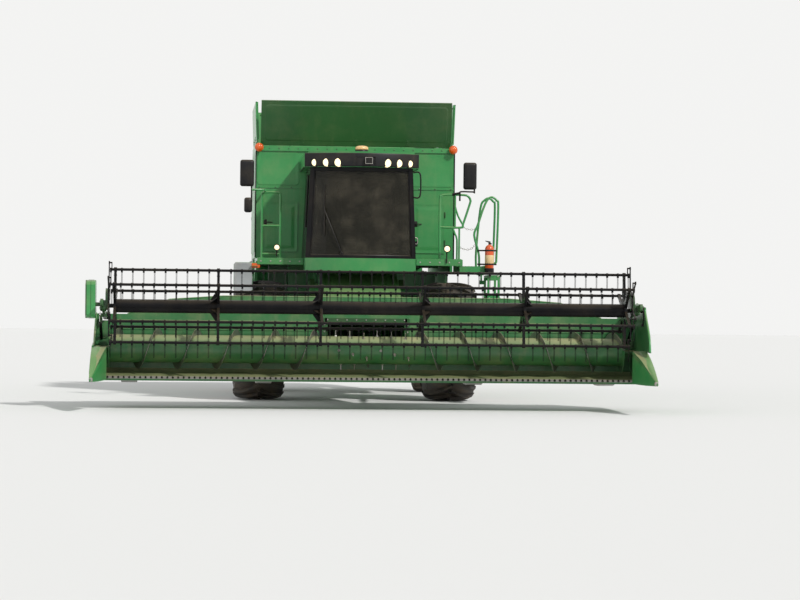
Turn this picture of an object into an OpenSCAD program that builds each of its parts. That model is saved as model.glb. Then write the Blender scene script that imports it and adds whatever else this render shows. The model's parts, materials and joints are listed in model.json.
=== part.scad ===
// Combine harvester with a wide grain header, tined pickup reel, cab, open grain tank and
// folded unloading tube. Millimetres. The machine faces -Y, its left side is +X, +Z is up.
// Modules are drawn round the front axle (y = 0) on the ground (z = 0) and centre plane
// (x = 0), and shift moves each of them so that the origin is under the middle of the whole.

/* [Running gear] */
// Distance between the front and rear axles
wheelbase = 3600; // [3500:10:3700]
// Outer radius of a front tyre, at its lugs
front_tyre_r = 925; // [900:5:930]
// Width of a front tyre
front_tyre_w = 800; // [700:10:800]
// Centre plane of each front tyre, from the middle of the machine
front_track_x = 1485; // [1485:5:1520]
// Outer radius of a rear tyre, at its lugs
rear_tyre_r = 640; // [600:5:645]
// Width of a rear tyre
rear_tyre_w = 440; // [380:10:450]
// Kingpin of each rear wheel, from the middle of the machine
kingpin_x = 1120; // [1110:5:1160]

/* [Body] */
// Half width of the body over its front wall
body_hw = 1560; // [1540:5:1570]
// Rear face of the grain tank, behind the front axle
tank_rear_y = 2300; // [2250:10:2320]
// Top rim of the grain tank
tank_top_z = 3950; // [3940:5:3955]
// Rearmost point of the straw chopper
rear_end_y = 5300; // [5250:10:5400]
// Top surface of the operator's deck
deck_z = 2190; // [2180:5:2200]

/* [Cab] */
// Front face of the cab, ahead of the front axle
cab_front = 1500; // [1480:5:1520]
// Half width of the cab at its floor
cab_hw = 835; // [820:5:840]
// Underside of the cab roof
cab_eave_z = 3550; // [3540:5:3560]
// Top of the cab roof
cab_top_z = 3790; // [3780:5:3810]

/* [Header] */
// Width of the header over its end sheets
header_w = 7820; // [7800:10:7840]
// Tip of the crop dividers, ahead of the front axle
divider_tip = 5050; // [5000:10:5100]
// Height of the knife above the ground
knife_z = 450; // [440:5:460]
// Feederhouse pivot ahead of the front axle
feeder_pivot_y = -650; // [-655:5:-645]
// Feederhouse pivot height
feeder_pivot_z = 1700; // [1695:5:1705]

/* [Reel] */
// Reel axis ahead of the front axle
reel_y = -4000; // [-4010:5:-3990]
// Reel axis height
reel_z = 1450; // [1445:5:1455]
// Distance from the reel axis to each bat
bat_r = 510; // [500:5:515]
// Number of bats
bat_count = 6; // [6]
// Height of the control stars' axis above the reel axis
star_rise = 95; // [90:1:100]
// Length of a tine below its bat
tine_len = 220; // [200:5:225]
// Distance between tines, six inches
tine_pitch = 152.4; // [152.4]

/* [Hidden] */
$fn = 48;

drive_t = 90;                    // how far the reel's drive shield stands outside the header
header_hw = header_w / 2;
shift = [drive_t / 2, (divider_tip - rear_end_y) / 2, 0];
running = 0.05;                  // radial clearance of a pin in its bore
gap = 6;                         // clearance between pieces that move past each other
green = "ForestGreen";
dark_green = "DarkGreen";
black = [0.08, 0.08, 0.09];
steel = "Silver";
dust = "Tan";

// Moves a sub-part from the axle's frame to the frame under the middle of the whole
module place() { translate(shift) children(); }

// A block given by its low and high edges along each axis
module block(x, y, z) {
    translate([x[0], y[0], z[0]]) cube([x[1] - x[0], y[1] - y[0], z[1] - z[0]]);
}

// A profile drawn as [y, z] points, standing across the machine from x[0] to x[1]
module slab(x, outline) {
    translate([x[0], 0, 0]) rotate([90, 0, 90]) linear_extrude(x[1] - x[0]) polygon(outline);
}

// The same profile on both sides of the machine, x measured outward from its middle
module both_slabs(x, outline) {
    slab(x, outline);
    slab([-x[1], -x[0]], outline);
}

// Round bar along X between x[0] and x[1] at y, z
module bar_x(x, y, z, r) {
    translate([x[0], y, z]) rotate([0, 90, 0]) cylinder(h = x[1] - x[0], r = r);
}

// Round bar between two points
module rod(a, b, r, fn = 24) {
    v = b - a;
    l = norm(v);
    translate(a) rotate([0, acos(v[2] / l), atan2(v[1], v[0])]) cylinder(h = l, r = r, $fn = fn);
}

// Bent tube through a list of points, round at its bends
module pipe(points, r) {
    for (i = [0 : len(points) - 2]) hull()
        for (p = [points[i], points[i + 1]]) translate(p) sphere(r = r, $fn = 8);
}

// Pieces drawn for the machine's left, repeated on its right
module both() {
    children();
    mirror([1, 0, 0]) children();
}

// Chassis: side plates with the feeder lugs, cross tubes, front axle and final drives
axle_z = front_tyre_r;
plate_x = [650, 720];
hub_face_x = 1150;
module chassis_frame() {
    both_slabs(plate_x, [[-820, 1560], [-560, 1880], [3950, 1480], [3950, 1240],
        [900, 1120], [420, 740], [-520, 640], [-600, 1300]]);
    for (c = [[-480, 1010, 60], [1500, 1300, 70], [3300, 1330, 70]])
        bar_x([-700, 700], c[0], c[1], c[2]);
}
module chassis() {
    color(dark_green) place() difference() {
        union() {
            chassis_frame();
            block([-1000, 1000], [-120, 120], [axle_z - 130, axle_z + 120]);
            both() {
                bar_x([790, 1040], 0, axle_z, 250);
                bar_x([1030, hub_face_x], 0, axle_z, 170);
                bar_x([1100, 1420], 0, axle_z, 60);
                bar_x([700, 815], lift_base[0], lift_base[1], 25);
            }
            // Rear axle pivot bracket
            for (side = [-1, 1])
                slab([-90, 90], [for (p = [[150, 560], [150, 1270], [110, 1300], [110, 560]])
                [wheelbase + side * p[0], p[1]]]);
            slab([-150, 150], [[wheelbase - 150, 1250], [wheelbase + 150, 1250],
                [wheelbase + 150, 1330], [wheelbase - 150, 1330]]);
            block([-680, 680], [wheelbase - 60, wheelbase + 60], [1270, 1390]);
        }
        both() bar_x([plate_x[0] - 1, plate_x[1] + 1], feeder_pivot_y, feeder_pivot_z,
            60 + running);
        // Way of the rear axle's tongue through the bracket
        block([-62, 62], [wheelbase + 100, wheelbase + 160], [rear_tyre_r - 62, rear_tyre_r + 62]);
    }
}

// Rear axle beam with an eye for the kingpin at each end and a tow hitch behind
rear_z = rear_tyre_r;
module rear_axle() {
    color(dark_green) place() difference() {
        union() {
            slab([-90, 90], [for (p = [[-104, 560], [104, 560], [104, 780], [-104, 780]])
                [wheelbase + p[0], p[1]]]);
            both() {
                block([80, kingpin_x - 40], [wheelbase - 80, wheelbase + 80],
                    [rear_z - 70, rear_z + 70]);
                translate([kingpin_x, wheelbase, rear_z - 80]) cylinder(h = 160, r = 75);
            }
            // Tongue and the two ears of the hitch
            block([-60, 60], [wheelbase + 60, wheelbase + 520], [rear_z - 60, rear_z + 60]);
            for (z = [rear_z - 60, rear_z + 30]) {
                block([-60, 60], [wheelbase + 500, wheelbase + 600], [z, z + 30]);
                translate([0, wheelbase + 600, z]) cylinder(h = 30, r = 60);
            }
        }
        both() translate([kingpin_x, wheelbase, rear_z - 90]) cylinder(h = 180, r = 40 + running);
        translate([0, wheelbase + 600, rear_z - 70]) cylinder(h = 140, r = 16.5);
    }
}

// Threshing, walker and cleaning housing between the wheels, which carries the tank
tank_z = 2205;
module separator() {
    color(green) place() difference() {
        union() {
            slab([-640, 640], [[-200, 1150], [-200, 2060], [-34, 2125], [-34, 2180], [4150, 2180],
                [4150, 1420], [3850, 1400], [3250, 1400], [3050, 1250], [2850, 820], [500, 820], [300, 1080]]);
            both_slabs([635, 1000], [[950, 1500], [950, 2180], [3000, 2180], [3000, 1500]]);
            // Grain and tailings elevators on the right, fuel tank on the left
            slab([-1300, -990], [[1500, 1250], [1700, 1250], [1700, 2180], [1500, 2180]]);
            block([990, 1380], [1200, 2200], [1450, 2000]);
            // Panels over the front wheels
            both_slabs([body_hw - 60, body_hw - 20], [[0, 1990], [0, tank_z], [1020, tank_z],
                [1020, 1500], [960, 1640], [860, 1860], [700, 1990]]);
            both() block([600, body_hw - 40], [20, 1000], [2140, tank_z]);
            both() block([600, body_hw - 40], [2200, 2260], [2100, tank_z]);
        }
        chassis_frame();
    }
}

// Grain tank: front wall to full width, hollow body with a sloping floor, recess for the tube
tube_x = 1370;
tube_y = 480;
tube_z = 3600;
turret_z = 3280;
recess_x = 1150;
wall = 40;
flap_z = tank_top_z + 25;
side_flap_z = tank_top_z + 70;
module tank() {
    rim = tank_top_z - 10;
    color(green) place() difference() {
        union() {
            block([-body_hw, body_hw], [0, tank_rear_y], [tank_z, rim]);
            // Lighter ledge along the top of the front wall
            block([-body_hw, body_hw], [-30, 20], [tank_top_z - 75, tank_top_z - 5]);
            // Service door in the left half of the wall and its frame
            block([cab_hw + 60, body_hw - 150], [-14, 5], [2300, 3080]);
            block([-body_hw + 100, -cab_hw - 60], [-14, 5], [2300, 3080]);
            block([-body_hw, body_hw], [-12, 5], [3295, 3320]);
        }
        // Inside of the tank, left open at the top
        intersection() {
            block([-body_hw + wall, recess_x - wall], [wall, tank_rear_y - wall], [2300, 4200]);
            slab([-2000, 2000], [[0, 3000], [900, 2300], [1500, 2300], [tank_rear_y, 3000],
                [tank_rear_y, 4300], [0, 4300]]);
        }
        // Recess along the left side for the unloading tube
        block([recess_x, 2000], [wall, 3000], [3370, 4300]);
        translate([tube_x, tube_y, turret_z]) cylinder(h = 500, r = 252);
        block([tube_x, 2000], [tube_y - 260, tube_y + 260], [turret_z, 3500]);
    }
    // Rim that carries the left cover, standing on the tank beside the recess
    color(green) place() {
        block([recess_x - wall, recess_x], [wall, tank_rear_y], [3800, rim]);
        block([recess_x - 10, body_hw], [wall - 20, tank_rear_y], [rim - 40, rim]);
        // Raised rails that carry the side covers, and saddles under the end covers' hinges
        both() block([1500, body_hw], [60, tank_rear_y - 60], [rim - 5, side_flap_z - 18]);
        for (x = [-1300, 0, 1300], y = [30, tank_rear_y - 20])
            block([x - 60, x + 60], [y - 18, y + 18], [rim - 5, flap_z - 15]);
    }
}

// Engine, a plain block behind the tank
module engine() {
    color("DimGray") place() block([-420, 620], [2480, 3480], [2185, 3100]);
}

// Rear hood: engine cover and straw hood in one shell, open below at the back
hood_hw = 1430;
hood_wall = 40;
hood_top = [[2305, 3400], [3250, 3400], [4050, 3200], [4750, 2720], [5000, 2350]];
screen_y = 2850;
screen_z = 2900;
screen_r = 400;
module rear_hood() {
    color(green) place() difference() {
        union() {
            slab([-hood_hw, hood_hw], concat(hood_top, [[5000, 1800], [4160, 1450], [4160, 2185],
                [2305, 2185]]));
            // Raised rib round the hood where its two pressings meet
            slab([-hood_hw - 12, hood_hw + 12], [[4020, 2300], [4020, 3220], [4070, 3198],
                [4120, 3150], [4120, 2300]]);
        }
        slab([-hood_hw + hood_wall, hood_hw - hood_wall], [[2345, 2100], [2345, 3360],
            [3240, 3360], [4030, 3163], [4720, 2690], [4960, 2330], [4960, 1000], [4200, 1000],
            [4200, 2100]]);
        // Mouth of the air intake on the right side
        bar_x([-hood_hw - 20, -hood_hw + 60], screen_y, screen_z, screen_r - 30);
        block([-hood_hw - 20, -hood_hw + 35], [screen_y - 450, screen_y + 450],
            [screen_z - 25, screen_z + 25]);
        // Louvres on the left side
        for (z = [2500 : 90 : 3100]) block([hood_hw - 60, hood_hw + 20], [2600, 3400], [z, z + 45]);
    }
}

// Straw chopper under the hood's outlet, with its spread vanes on the tail board
chopper_hw = 850;
module chopper() {
    color(green) place() {
        slab([-chopper_hw, chopper_hw], [[4205, 1440], [4700, 1640], [4900, 1640], [4980, 1480],
            [4980, 1180], [4860, 1000], [4500, 960], [4205, 1250]]);
        slab([-chopper_hw, chopper_hw], [[4940, 1440], [rear_end_y, 1310], [rear_end_y, 1280],
            [4940, 1405]]);
        for (x = [-750 : 150 : 750])
            slab([x - 4, x + 4], [[4960, 1410], [rear_end_y - 10, 1285], [rear_end_y - 60, 1130],
            [4970, 1230]]);
    }
}

// Operator's deck with its edge band, and the landing that leads to the ladder
landing_x = [1500, 1890];
landing_y = [-1480, -960];
ladder_pin = [1890, -944];
module deck() {
    color(green) place() difference() {
        union() {
            // Right and left halves: x range and front edge
            for (half = [[[-body_hw + 20, -cab_hw - 10], -1000], [[cab_hw + 10, body_hw - 20], -1488]]) {
                block(half[0], [half[1], -36], [deck_z - 40, deck_z]);
                block(half[0], [half[1], half[1] + 30], [deck_z - 100, deck_z - 30]);
            }
            block([-cab_hw - 20, cab_hw + 20], [-960, -36], [deck_z - 60, deck_z]);
            // Curved valance under the windscreen
            intersection() {
                translate([0, screen_arc_y, 1985])
                    cylinder(h = deck_z - 1985, r = screen_arc_r + 15, $fn = 128);
                block([-cab_hw, cab_hw], [-1800, -955], [1980, 2200]);
            }
            // Pale marker plate on the right
            plate = [[-1870, 1670], [-1640, 1670], [-1610, 1700], [-1610, 2090], [-1640, 2120],
                [-1870, 2120], [-1900, 2090], [-1900, 1700]];
            translate([0, -955, 0]) rotate([90, 0, 0]) linear_extrude(20) polygon(plate);
            block([-1620, -body_hw + 22], [-985, -965], [2092, 2118]);
            both() block([640, 720], [-900, -36], [2060, deck_z - 35]);
            // Landing, carried on two beams from the deck
            block(landing_x, landing_y, [2060, 2090]);
            for (y = [landing_y[0], -1000]) block(landing_x, [y, y + 40], [1990, 2065]);
            block([1500, 1560], [-1000, -500], [1990, deck_z - 30]);
            block([1500, 1560], [-1480, -960], [1990, 2065]);
            // Lug that the ladder's hinge pin stands in
            block([1850, 1930], [-968, -920], [1960, 2000]);
            block([1820, 1890], [-990, -920], [1960, 2070]);
        }
        translate([ladder_pin[0], ladder_pin[1], 1950]) cylinder(h = 60, r = 14 + running);
    }
}

// Hand rails round the deck and landing, and the arms of the mirrors
rail_r = 17;
left_rail_y = -1450;
// Bent pipe of the left deck rail, its posts and its brace, as x, z points
left_rail = [[1194, deck_z], [1194, 3091], [1215, 3140], [1260, 3166], [1572, 3166], [1632, 3136],
    [1655, 3091], [1650, 3040], [1549, 2728], [1530, 2675], [1194, 2675]];
left_posts = [
    [[1426, 3162], [1426, 2679]],
    [[1391, 2671], [1430, 2570], [1458, 2486], [1458, deck_z]],
    [[1492, 2671], [1492, deck_z]],
    [[1428, 2984], [1470, 2850], [1543, 2720]],
];
landing_loop = [[1859, 2980], [1925, 3110], [1992, 3138], [2055, 3090], [2082, 3000], [2062, 2266],
    [2040, 2140], [1880, 2078]];
slack_chains = [
    [[1540, 2690], [1600, 2655], [1665, 2644], [1725, 2652], [1758, 2668]],
    [[1492, 2380], [1560, 2350], [1620, 2341], [1690, 2365], [1750, 2440]],
];
module rails() {
    color(green) place() {
        // Deck rail on the right, an upright loop with a middle and a low bar
        pipe([[-1480, -950, deck_z], [-1480, -950, 3150], [-1440, -950, 3185],
            [-1240, -950, 3185], [-1200, -950, 3150], [-1200, -950, deck_z]], rail_r);
        for (z = [2250, 2680]) pipe([[-1479, -949, z], [-1201, -949, z]], rail_r - 2);
        // Deck rail on the left: a loop that bulges outward at the top, with posts and a brace
        pipe([for (p = left_rail) [p[0], left_rail_y, p[1]]], rail_r);
        for (k = [0 : 3]) pipe([for (p = left_posts[k]) [p[0], left_rail_y + k - 1.3, p[1]]],
            rail_r - 1.6 - 0.6 * k);
        // Two loops on the landing's outer edge, the front one bent toward the deck rail
        pipe([for (p = concat([[1800, 2090], [1790, 2290], [1720, 2560], [1771, 2710]], landing_loop))
            [p[0], left_rail_y, p[1]]], rail_r);
        pipe([for (p = concat([[1800, 2090], [1800, 2335]], landing_loop)) [p[0], -1010, p[1]]],
            rail_r);
        // Two slack chains that close the landing
        for (chain = slack_chains) pipe([for (p = chain) [p[0], left_rail_y, p[1]]], 7);
        // Mirror arms
        pipe([[-1440, -40, 3210], [-1440, -1350, 3210], [-1650, -1400, 3210]], rail_r);
        pipe([[-1650, -1400, 2960], [-1650, -1400, 3600]], 12);
        pipe([[1400, -1450, 3180], [1480, -1450, 3186], [1512, -1450, 3217], [1700, -1420, 3217],
            [1722, -1392, 3230], [1722, -1392, 3560]], 12);
    }
}

// Fire extinguisher, strapped to the front loop of the landing
bottle = [1943, -1546];
module extinguisher() {
    color("OrangeRed") place() {
        translate([bottle[0], bottle[1], 1990]) cylinder(h = 55, r = 72);
        translate([bottle[0], bottle[1], 2040]) cylinder(h = 350, r = 66);
        translate([bottle[0], bottle[1], 2388]) cylinder(h = 50, r = 45);
        translate([bottle[0], bottle[1], 2430]) cylinder(h = 50, r = 16);
        block([bottle[0] - 60, bottle[0] + 30], [bottle[1] - 12, bottle[1] + 12], [2462, 2480]);
        for (z = [2120, 2320]) {
            block([bottle[0] - 74, bottle[0] + 74], [bottle[1] - 10, bottle[1] + 76], [z, z + 24]);
            block([1765, 2062], [-1480, -1468], [z, z + 24]);
        }
    }
}

// Mirrors: a tall head and a small wide-angle one on the right, a tall one on the left
module mirror_head(x, z, w, h) {
    translate([x, -1400, z]) hull()
        for (dx = [-w / 2 + 30, w / 2 - 30], dz = [-h / 2 + 30, h / 2 - 30])
        translate([dx, 0, dz]) rotate([90, 0, 0]) cylinder(h = 70, r = 30, $fn = 24);
}
module mirrors() {
    color(black) place() {
        mirror_head(-1720, 3455, 210, 400);
        mirror_head(-1700, 2975, 120, 225);
        mirror_head(1650, 3455, 200, 410);
    }
}

// Section of the cab across the machine at an inset t from its outside
cab_top_hw = cab_hw - 60;
module cab_section(t) {
    polygon([[-cab_hw + t, deck_z + t], [cab_hw - t, deck_z + t],
        [cab_top_hw - t, cab_eave_z - t], [-cab_top_hw + t, cab_eave_z - t]]);
}
// The cab's front is part of an upright cylinder, so its screen and visor bulge forward
screen_arc_y = -300;
screen_arc_r = 1430;
module screen_arc(t, z) {
    translate([0, screen_arc_y, z[0]]) cylinder(h = z[1] - z[0], r = screen_arc_r - t, $fn = 128);
    block([-1000, 1000], [-1200 + t, 0], z);
}
module cab_prism(t, y) {
    intersection() {
        translate([0, y[1], 0]) rotate([90, 0, 0]) linear_extrude(y[1] - y[0]) cab_section(t);
        screen_arc(t, [deck_z - 10, cab_eave_z + 10]);
    }
}
cab_nose = screen_arc_y - screen_arc_r - 10;

// Room of the windscreen, between the front pillars
module windscreen_gap() {
    translate([0, -1250, 0]) rotate([90, 0, 0]) linear_extrude(600)
        polygon([[-cab_hw + 75, deck_z + 40], [cab_hw - 75, deck_z + 40],
        [cab_top_hw - 70, cab_eave_z - 45], [-cab_top_hw + 70, cab_eave_z - 45]]);
}

// Openings of the cab: [low y, high y, low z, high z] of the door and the right window
cab_rear = -60;
door_y = [-1420, -420];
door_zs = [2250, 3490];
module cab_body() {
    color(black) place() difference() {
        cab_prism(0, [cab_nose, cab_rear]);
        cab_prism(45, [cab_nose + 45, cab_rear - 45]);
        // Windscreen
        windscreen_gap();
        // Doorway on the left, window on the right and window at the back
        block([600, 1000], door_y, door_zs);
        block([-1000, -600], [-1400, -700], [2650, 3470]);
        block([-600, 600], [cab_rear - 60, cab_rear + 10], [2750, 3450]);
    }
}

// Cab roof: a visor that follows the windscreen, under a crowned top
roof_hw = 860;
roof_arc_r = 1500;
visor_h = 205;
module cab_roof() {
    color(green) place() difference() {
        union() {
            intersection() {
                union() {
                    translate([0, screen_arc_y, cab_eave_z + 2])
                        cylinder(h = visor_h, r = roof_arc_r, $fn = 128);
                    block([-roof_hw, roof_hw], [-1400, -50], [cab_eave_z + 2, cab_eave_z + 2 + visor_h]);
                }
                block([-roof_hw, roof_hw], [-2000, -50], [cab_eave_z, cab_top_z]);
            }
            intersection() {
                translate([0, screen_arc_y, cab_eave_z + visor_h])
                    cylinder(h = cab_top_z - cab_eave_z - visor_h, r = roof_arc_r - 70, $fn = 128);
                block([-roof_hw + 60, roof_hw - 60], [-2000, -120], [cab_eave_z, cab_top_z]);
            }
        }
        // Seats of the work lamps
        for (l = roof_lamps) translate([l[0], l[1], l[2]]) rotate([90, 0, 0]) cylinder(h = 200, r = l[3]);
    }
}

// Cab glass: windscreen, right window and rear window
module cab_glass() {
    color([0.1, 0.12, 0.12, 0.5]) place() {
        intersection() {
            windscreen_gap();
            difference() {
                screen_arc(16, [deck_z, cab_eave_z]);
                screen_arc(24, [deck_z - 1, cab_eave_z + 1]);
            }
        }
        intersection() {
            difference() {
                cab_prism(20, [cab_nose, cab_rear]);
                cab_prism(28, [cab_nose - 1, cab_rear + 1]);
            }
            block([-1000, -600], [-1400, -700], [2650, 3470]);
        }
        block([-600, 600], [cab_rear - 30, cab_rear - 22], [2750, 3450]);
    }
}

// Seat, steering column and armrest console
module cab_seat() {
    color("DimGray") place() {
        block([-240, 240], [-760, -280], [2236, 2560]);
        block([-250, 250], [-800, -260], [2555, 2680]);
        slab([-240, 240], [[-300, 2670], [-180, 3320], [-280, 3320], [-400, 2670]]);
        block([-70, 70], [-1240, -1120], [2236, 2300]);
        rod([0, -1180, 2290], [0, -1010, 2850], 45);
        translate([0, -1010, 2850]) rotate([17, 0, 0]) rotate_extrude()
            translate([190, 0]) circle(r = 16);
        for (a = [30, 150, 270])
            translate([0, -1010, 2850]) rotate([17, 0, a]) rod([0, 0, 0], [185, 0, 0], 12);
        block([-480, -290], [-1000, -420], [2640, 2760]);
        block([-470, -320], [-700, -560], [2236, 2650]);
    }
}

// Work lamps: [x, y of the back, z, radius, depth, foot of the stay] of each head
roof_lamps = [for (side = [-1, 1], k = [[360, 72], [535, 68], [708, 60]])
    [side * k[0], screen_arc_y - sqrt(roof_arc_r * roof_arc_r - k[0] * k[0]) + 40, 3617, k[1], 60]];
rail_lamps = [[-1250, -1000, 2350, 45, 60, 2210], [1300, -1520, 2347, 50, 60, deck_z - 60]];
module lamps() {
    color("White") place() {
        for (l = concat(roof_lamps, rail_lamps))
            translate([l[0], l[1], l[2]]) rotate([90, 0, 0]) cylinder(h = l[4], r = l[3]);
        for (l = rail_lamps) block([l[0] - 8, l[0] + 8], [l[1] - 5, l[1] + 32], [l[5], l[2] - 20]);
    }
}

// Orange lamps: beacon dome on the roof, a lamp on each front corner, marker on the right
module beacons() {
    color("Orange") place() {
        translate([0, -1480, cab_top_z]) cylinder(h = 40, r = 85);
        translate([0, -1480, cab_top_z + 35]) cylinder(h = 65, r = 72);
        for (x = [-1510, 1525]) {
            translate([x, -70, 3925]) rotate([90, 0, 0]) cylinder(h = 70, r = 68);
            block([x - 20, x + 20], [-80, -30], [3890, 3930]);
        }
        block([-1630, -body_hw + 20], [-1060, -985], [2030, 2110]);
    }
}

// Exhaust stack behind the tank
module exhaust() {
    color("DimGray") place() {
        translate([700, 2700, 3400]) cylinder(h = 600, r = 75);
        translate([700, 2700, 3480]) cylinder(h = 330, r = 110);
    }
}

// Ring that carries the rotary screen of the air intake
module screen_housing() {
    color(green) place() difference() {
        bar_x([-hood_hw - 60, -hood_hw], screen_y, screen_z, screen_r + 60);
        bar_x([-hood_hw - 61, -hood_hw + 1], screen_y, screen_z, screen_r + 12);
    }
    color("DimGray") place() {
        bar_x([-hood_hw - 130, -hood_hw + 35], screen_y, screen_z, 25);
        block([-hood_hw, -hood_hw + 35], [screen_y - 450, screen_y + 450],
            [screen_z - 25, screen_z + 25]);
    }
}

// Rotary screen: a perforated drum that turns on the housing's spindle
module screen() {
    color("DimGray") place() difference() {
        union() {
            bar_x([-hood_hw - 110, -hood_hw - 100], screen_y, screen_z, screen_r);
            difference() {
                bar_x([-hood_hw - 110, -hood_hw - 20], screen_y, screen_z, screen_r);
                bar_x([-hood_hw - 101, -hood_hw - 19], screen_y, screen_z, screen_r - 12);
            }
            bar_x([-hood_hw - 120, -hood_hw - 60], screen_y, screen_z, 50);
        }
        bar_x([-hood_hw - 140, -hood_hw], screen_y, screen_z, 25 + running);
    }
}

// Tyre of outer radius r and width w for a rim of radius rim_r, its middle at x, centre y.
// Slanted bars stand lug_h above the carcass in two rows, each offset half a pitch.
lug_h = 48;
lug_w = 62;
module tyre(x, y, r, w, rim_r, pairs) {
    h = w / 2;
    deep = r - lug_h;
    bar_len = h * 1.18;
    translate([x, y, r]) rotate([0, 90, 0]) {
        rotate_extrude($fn = 96) polygon([
            [rim_r, -h + 50], [rim_r + 40, -h + 15], [(r + rim_r) / 2, -h], [deep - 70, -h + 12],
            [deep - 18, -h + 50], [deep, -h + 110], [deep, h - 110], [deep - 18, h - 50],
            [deep - 70, h - 12], [(r + rim_r) / 2, h], [rim_r + 40, h - 15], [rim_r, h - 50]]);
        intersection() {
            translate([0, 0, -h + 14]) cylinder(h = w - 28, r = r, $fn = 96);
            for (side = [-1, 1], i = [0 : pairs - 1])
                rotate([0, 0, (i + (side > 0 ? 0.5 : 0)) * 360 / pairs])
                translate([deep - 40, 0, side * h * 0.48]) rotate([side * 42, 0, 0])
                translate([0, -lug_w / 2, -bar_len / 2]) cube([lug_h + 60, lug_w, bar_len]);
        }
    }
}

// Rim with its disc inset from the outside, on a hub with a bore for the axle
module rim(x, side, y, r, w, rim_r, disc_x, bore_r) {
    h = w / 2 - 45;
    translate([0, y, r]) difference() {
        union() {
            translate([x, 0, 0]) rotate([0, 90, 0]) rotate_extrude($fn = 96) polygon([
                [rim_r - 0.3, -h], [rim_r - 0.3, h], [rim_r - 40, h], [rim_r - 50, h - 60],
                [rim_r - 95, h - 90], [rim_r - 95, -h + 90], [rim_r - 50, -h + 60],
                [rim_r - 40, -h]]);
            translate([side * disc_x, 0, 0]) rotate([0, 90, 0])
                cylinder(h = 16, r = rim_r - 90, center = true);
            translate([side * (disc_x + 25), 0, 0]) rotate([0, 90, 0])
                cylinder(h = 110, r = bore_r + 55, center = true);
        }
        translate([side * disc_x, 0, 0]) rotate([0, 90, 0])
            cylinder(h = 300, r = bore_r + running, center = true);
    }
}

front_rim_r = 410;
rear_rim_r = 310;
rear_x = kingpin_x + 330;
module tyre_fl() { color(black) place() tyre(front_track_x, 0, front_tyre_r, front_tyre_w, front_rim_r, 19); }
module tyre_fr() { color(black) place() tyre(-front_track_x, 0, front_tyre_r, front_tyre_w, front_rim_r, 19); }
module tyre_rl() { color(black) place() tyre(rear_x, wheelbase, rear_tyre_r, rear_tyre_w, rear_rim_r, 17); }
module tyre_rr() { color(black) place() tyre(-rear_x, wheelbase, rear_tyre_r, rear_tyre_w, rear_rim_r, 17); }
module front_rim(side) {
    color("Gold") place()
        rim(side * front_track_x, side, 0, front_tyre_r, front_tyre_w, front_rim_r, 1235, 60);
}
module rear_rim(side) {
    color("Gold") place()
        rim(side * rear_x, side, wheelbase, rear_tyre_r, rear_tyre_w, rear_rim_r, 1380, 38);
}
module rim_fl() { front_rim(1); }
module rim_fr() { front_rim(-1); }
module rim_rl() { rear_rim(1); }
module rim_rr() { rear_rim(-1); }

// Steering knuckle: kingpin between two jaws, stub axle and rearward steering arm
arm_len = 210;
arm_z = [rear_z - 150, rear_z - 120];
module knuckle(side) {
    color(dark_green) place() mirror([side < 0 ? 1 : 0, 0, 0]) translate([kingpin_x, wheelbase, 0])
        difference() {
        union() {
            translate([0, 0, rear_z - 110]) cylinder(h = 220, r = 40);
            for (z = [rear_z - 120, rear_z + 86]) {
                translate([0, 0, z]) cylinder(h = 34, r = 72);
                block([0, 135], [-60, 60], [z, z + 34]);
            }
            block([90, 140], [-60, 60], [rear_z - 120, rear_z + 120]);
            bar_x([135, 180], 0, rear_z, 70);
            bar_x([135, 300], 0, rear_z, 38);
            // Steering arm under the lower jaw, with the eye for the tie rod
            block([-35, 35], [-20, arm_len], arm_z);
            translate([0, 0, arm_z[0]]) cylinder(h = 40, r = 60);
            translate([0, arm_len, arm_z[0]]) cylinder(h = 30, r = 40);
        }
        translate([0, arm_len, arm_z[0] - 5]) cylinder(h = 40, r = 15 + running);
    }
}
module knuckle_left() { knuckle(1); }
module knuckle_right() { knuckle(-1); }

// Tie rod between the two steering arms, with a pin standing up through each eye
module tie_rod() {
    tie_z = arm_z[0] - 40;
    color(dark_green) place() {
        bar_x([-kingpin_x, kingpin_x], wheelbase + arm_len, tie_z, 22);
        both() translate([kingpin_x, wheelbase + arm_len, tie_z - 28]) {
            cylinder(h = 56, r = 36);
            cylinder(h = 104, r = 15);
        }
    }
}

// Cab door: a framed panel in the cab's left side, hinged at its rear edge
door_gap = 8;
module door_shell(inset, t) {
    difference() {
        cab_prism(inset, [cab_nose, cab_rear]);
        cab_prism(inset + t, [cab_nose - 1, cab_rear + 1]);
    }
}
door_glass_zs = [2520, 3440];
door_glass_ys = [door_y[0] + 60, door_y[1] - 70];
hinge_out = 22;
function door_face(z) = cab_hw - (z - deck_z) * (cab_hw - cab_top_hw) / (cab_eave_z - deck_z);
module door() {
    color(black) place() {
        difference() {
            intersection() {
                door_shell(0, 42);
                block([600, 1000], [door_y[0] + door_gap, door_y[1] - door_gap],
                    [door_zs[0] + door_gap, door_zs[1] - door_gap]);
            }
            block([600, 1000], door_glass_ys, door_glass_zs);
        }
        // Hinge leaves and the outside handle
        for (z = [2400, 3350]) block([door_face(z) - 4, door_face(z) + hinge_out + 8],
            [door_y[1] - 90, door_y[1] - 8], [z - 40, z + 40]);
        block([door_face(2420) - 4, door_face(2420) + 40], [door_y[0] + 40, door_y[0] + 70],
            [2380, 2460]);
    }
}
module door_glass() {
    color([0.1, 0.12, 0.12, 0.5]) place() intersection() {
        door_shell(18, 8);
        block([600, 1000], door_glass_ys, door_glass_zs);
    }
}

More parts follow.
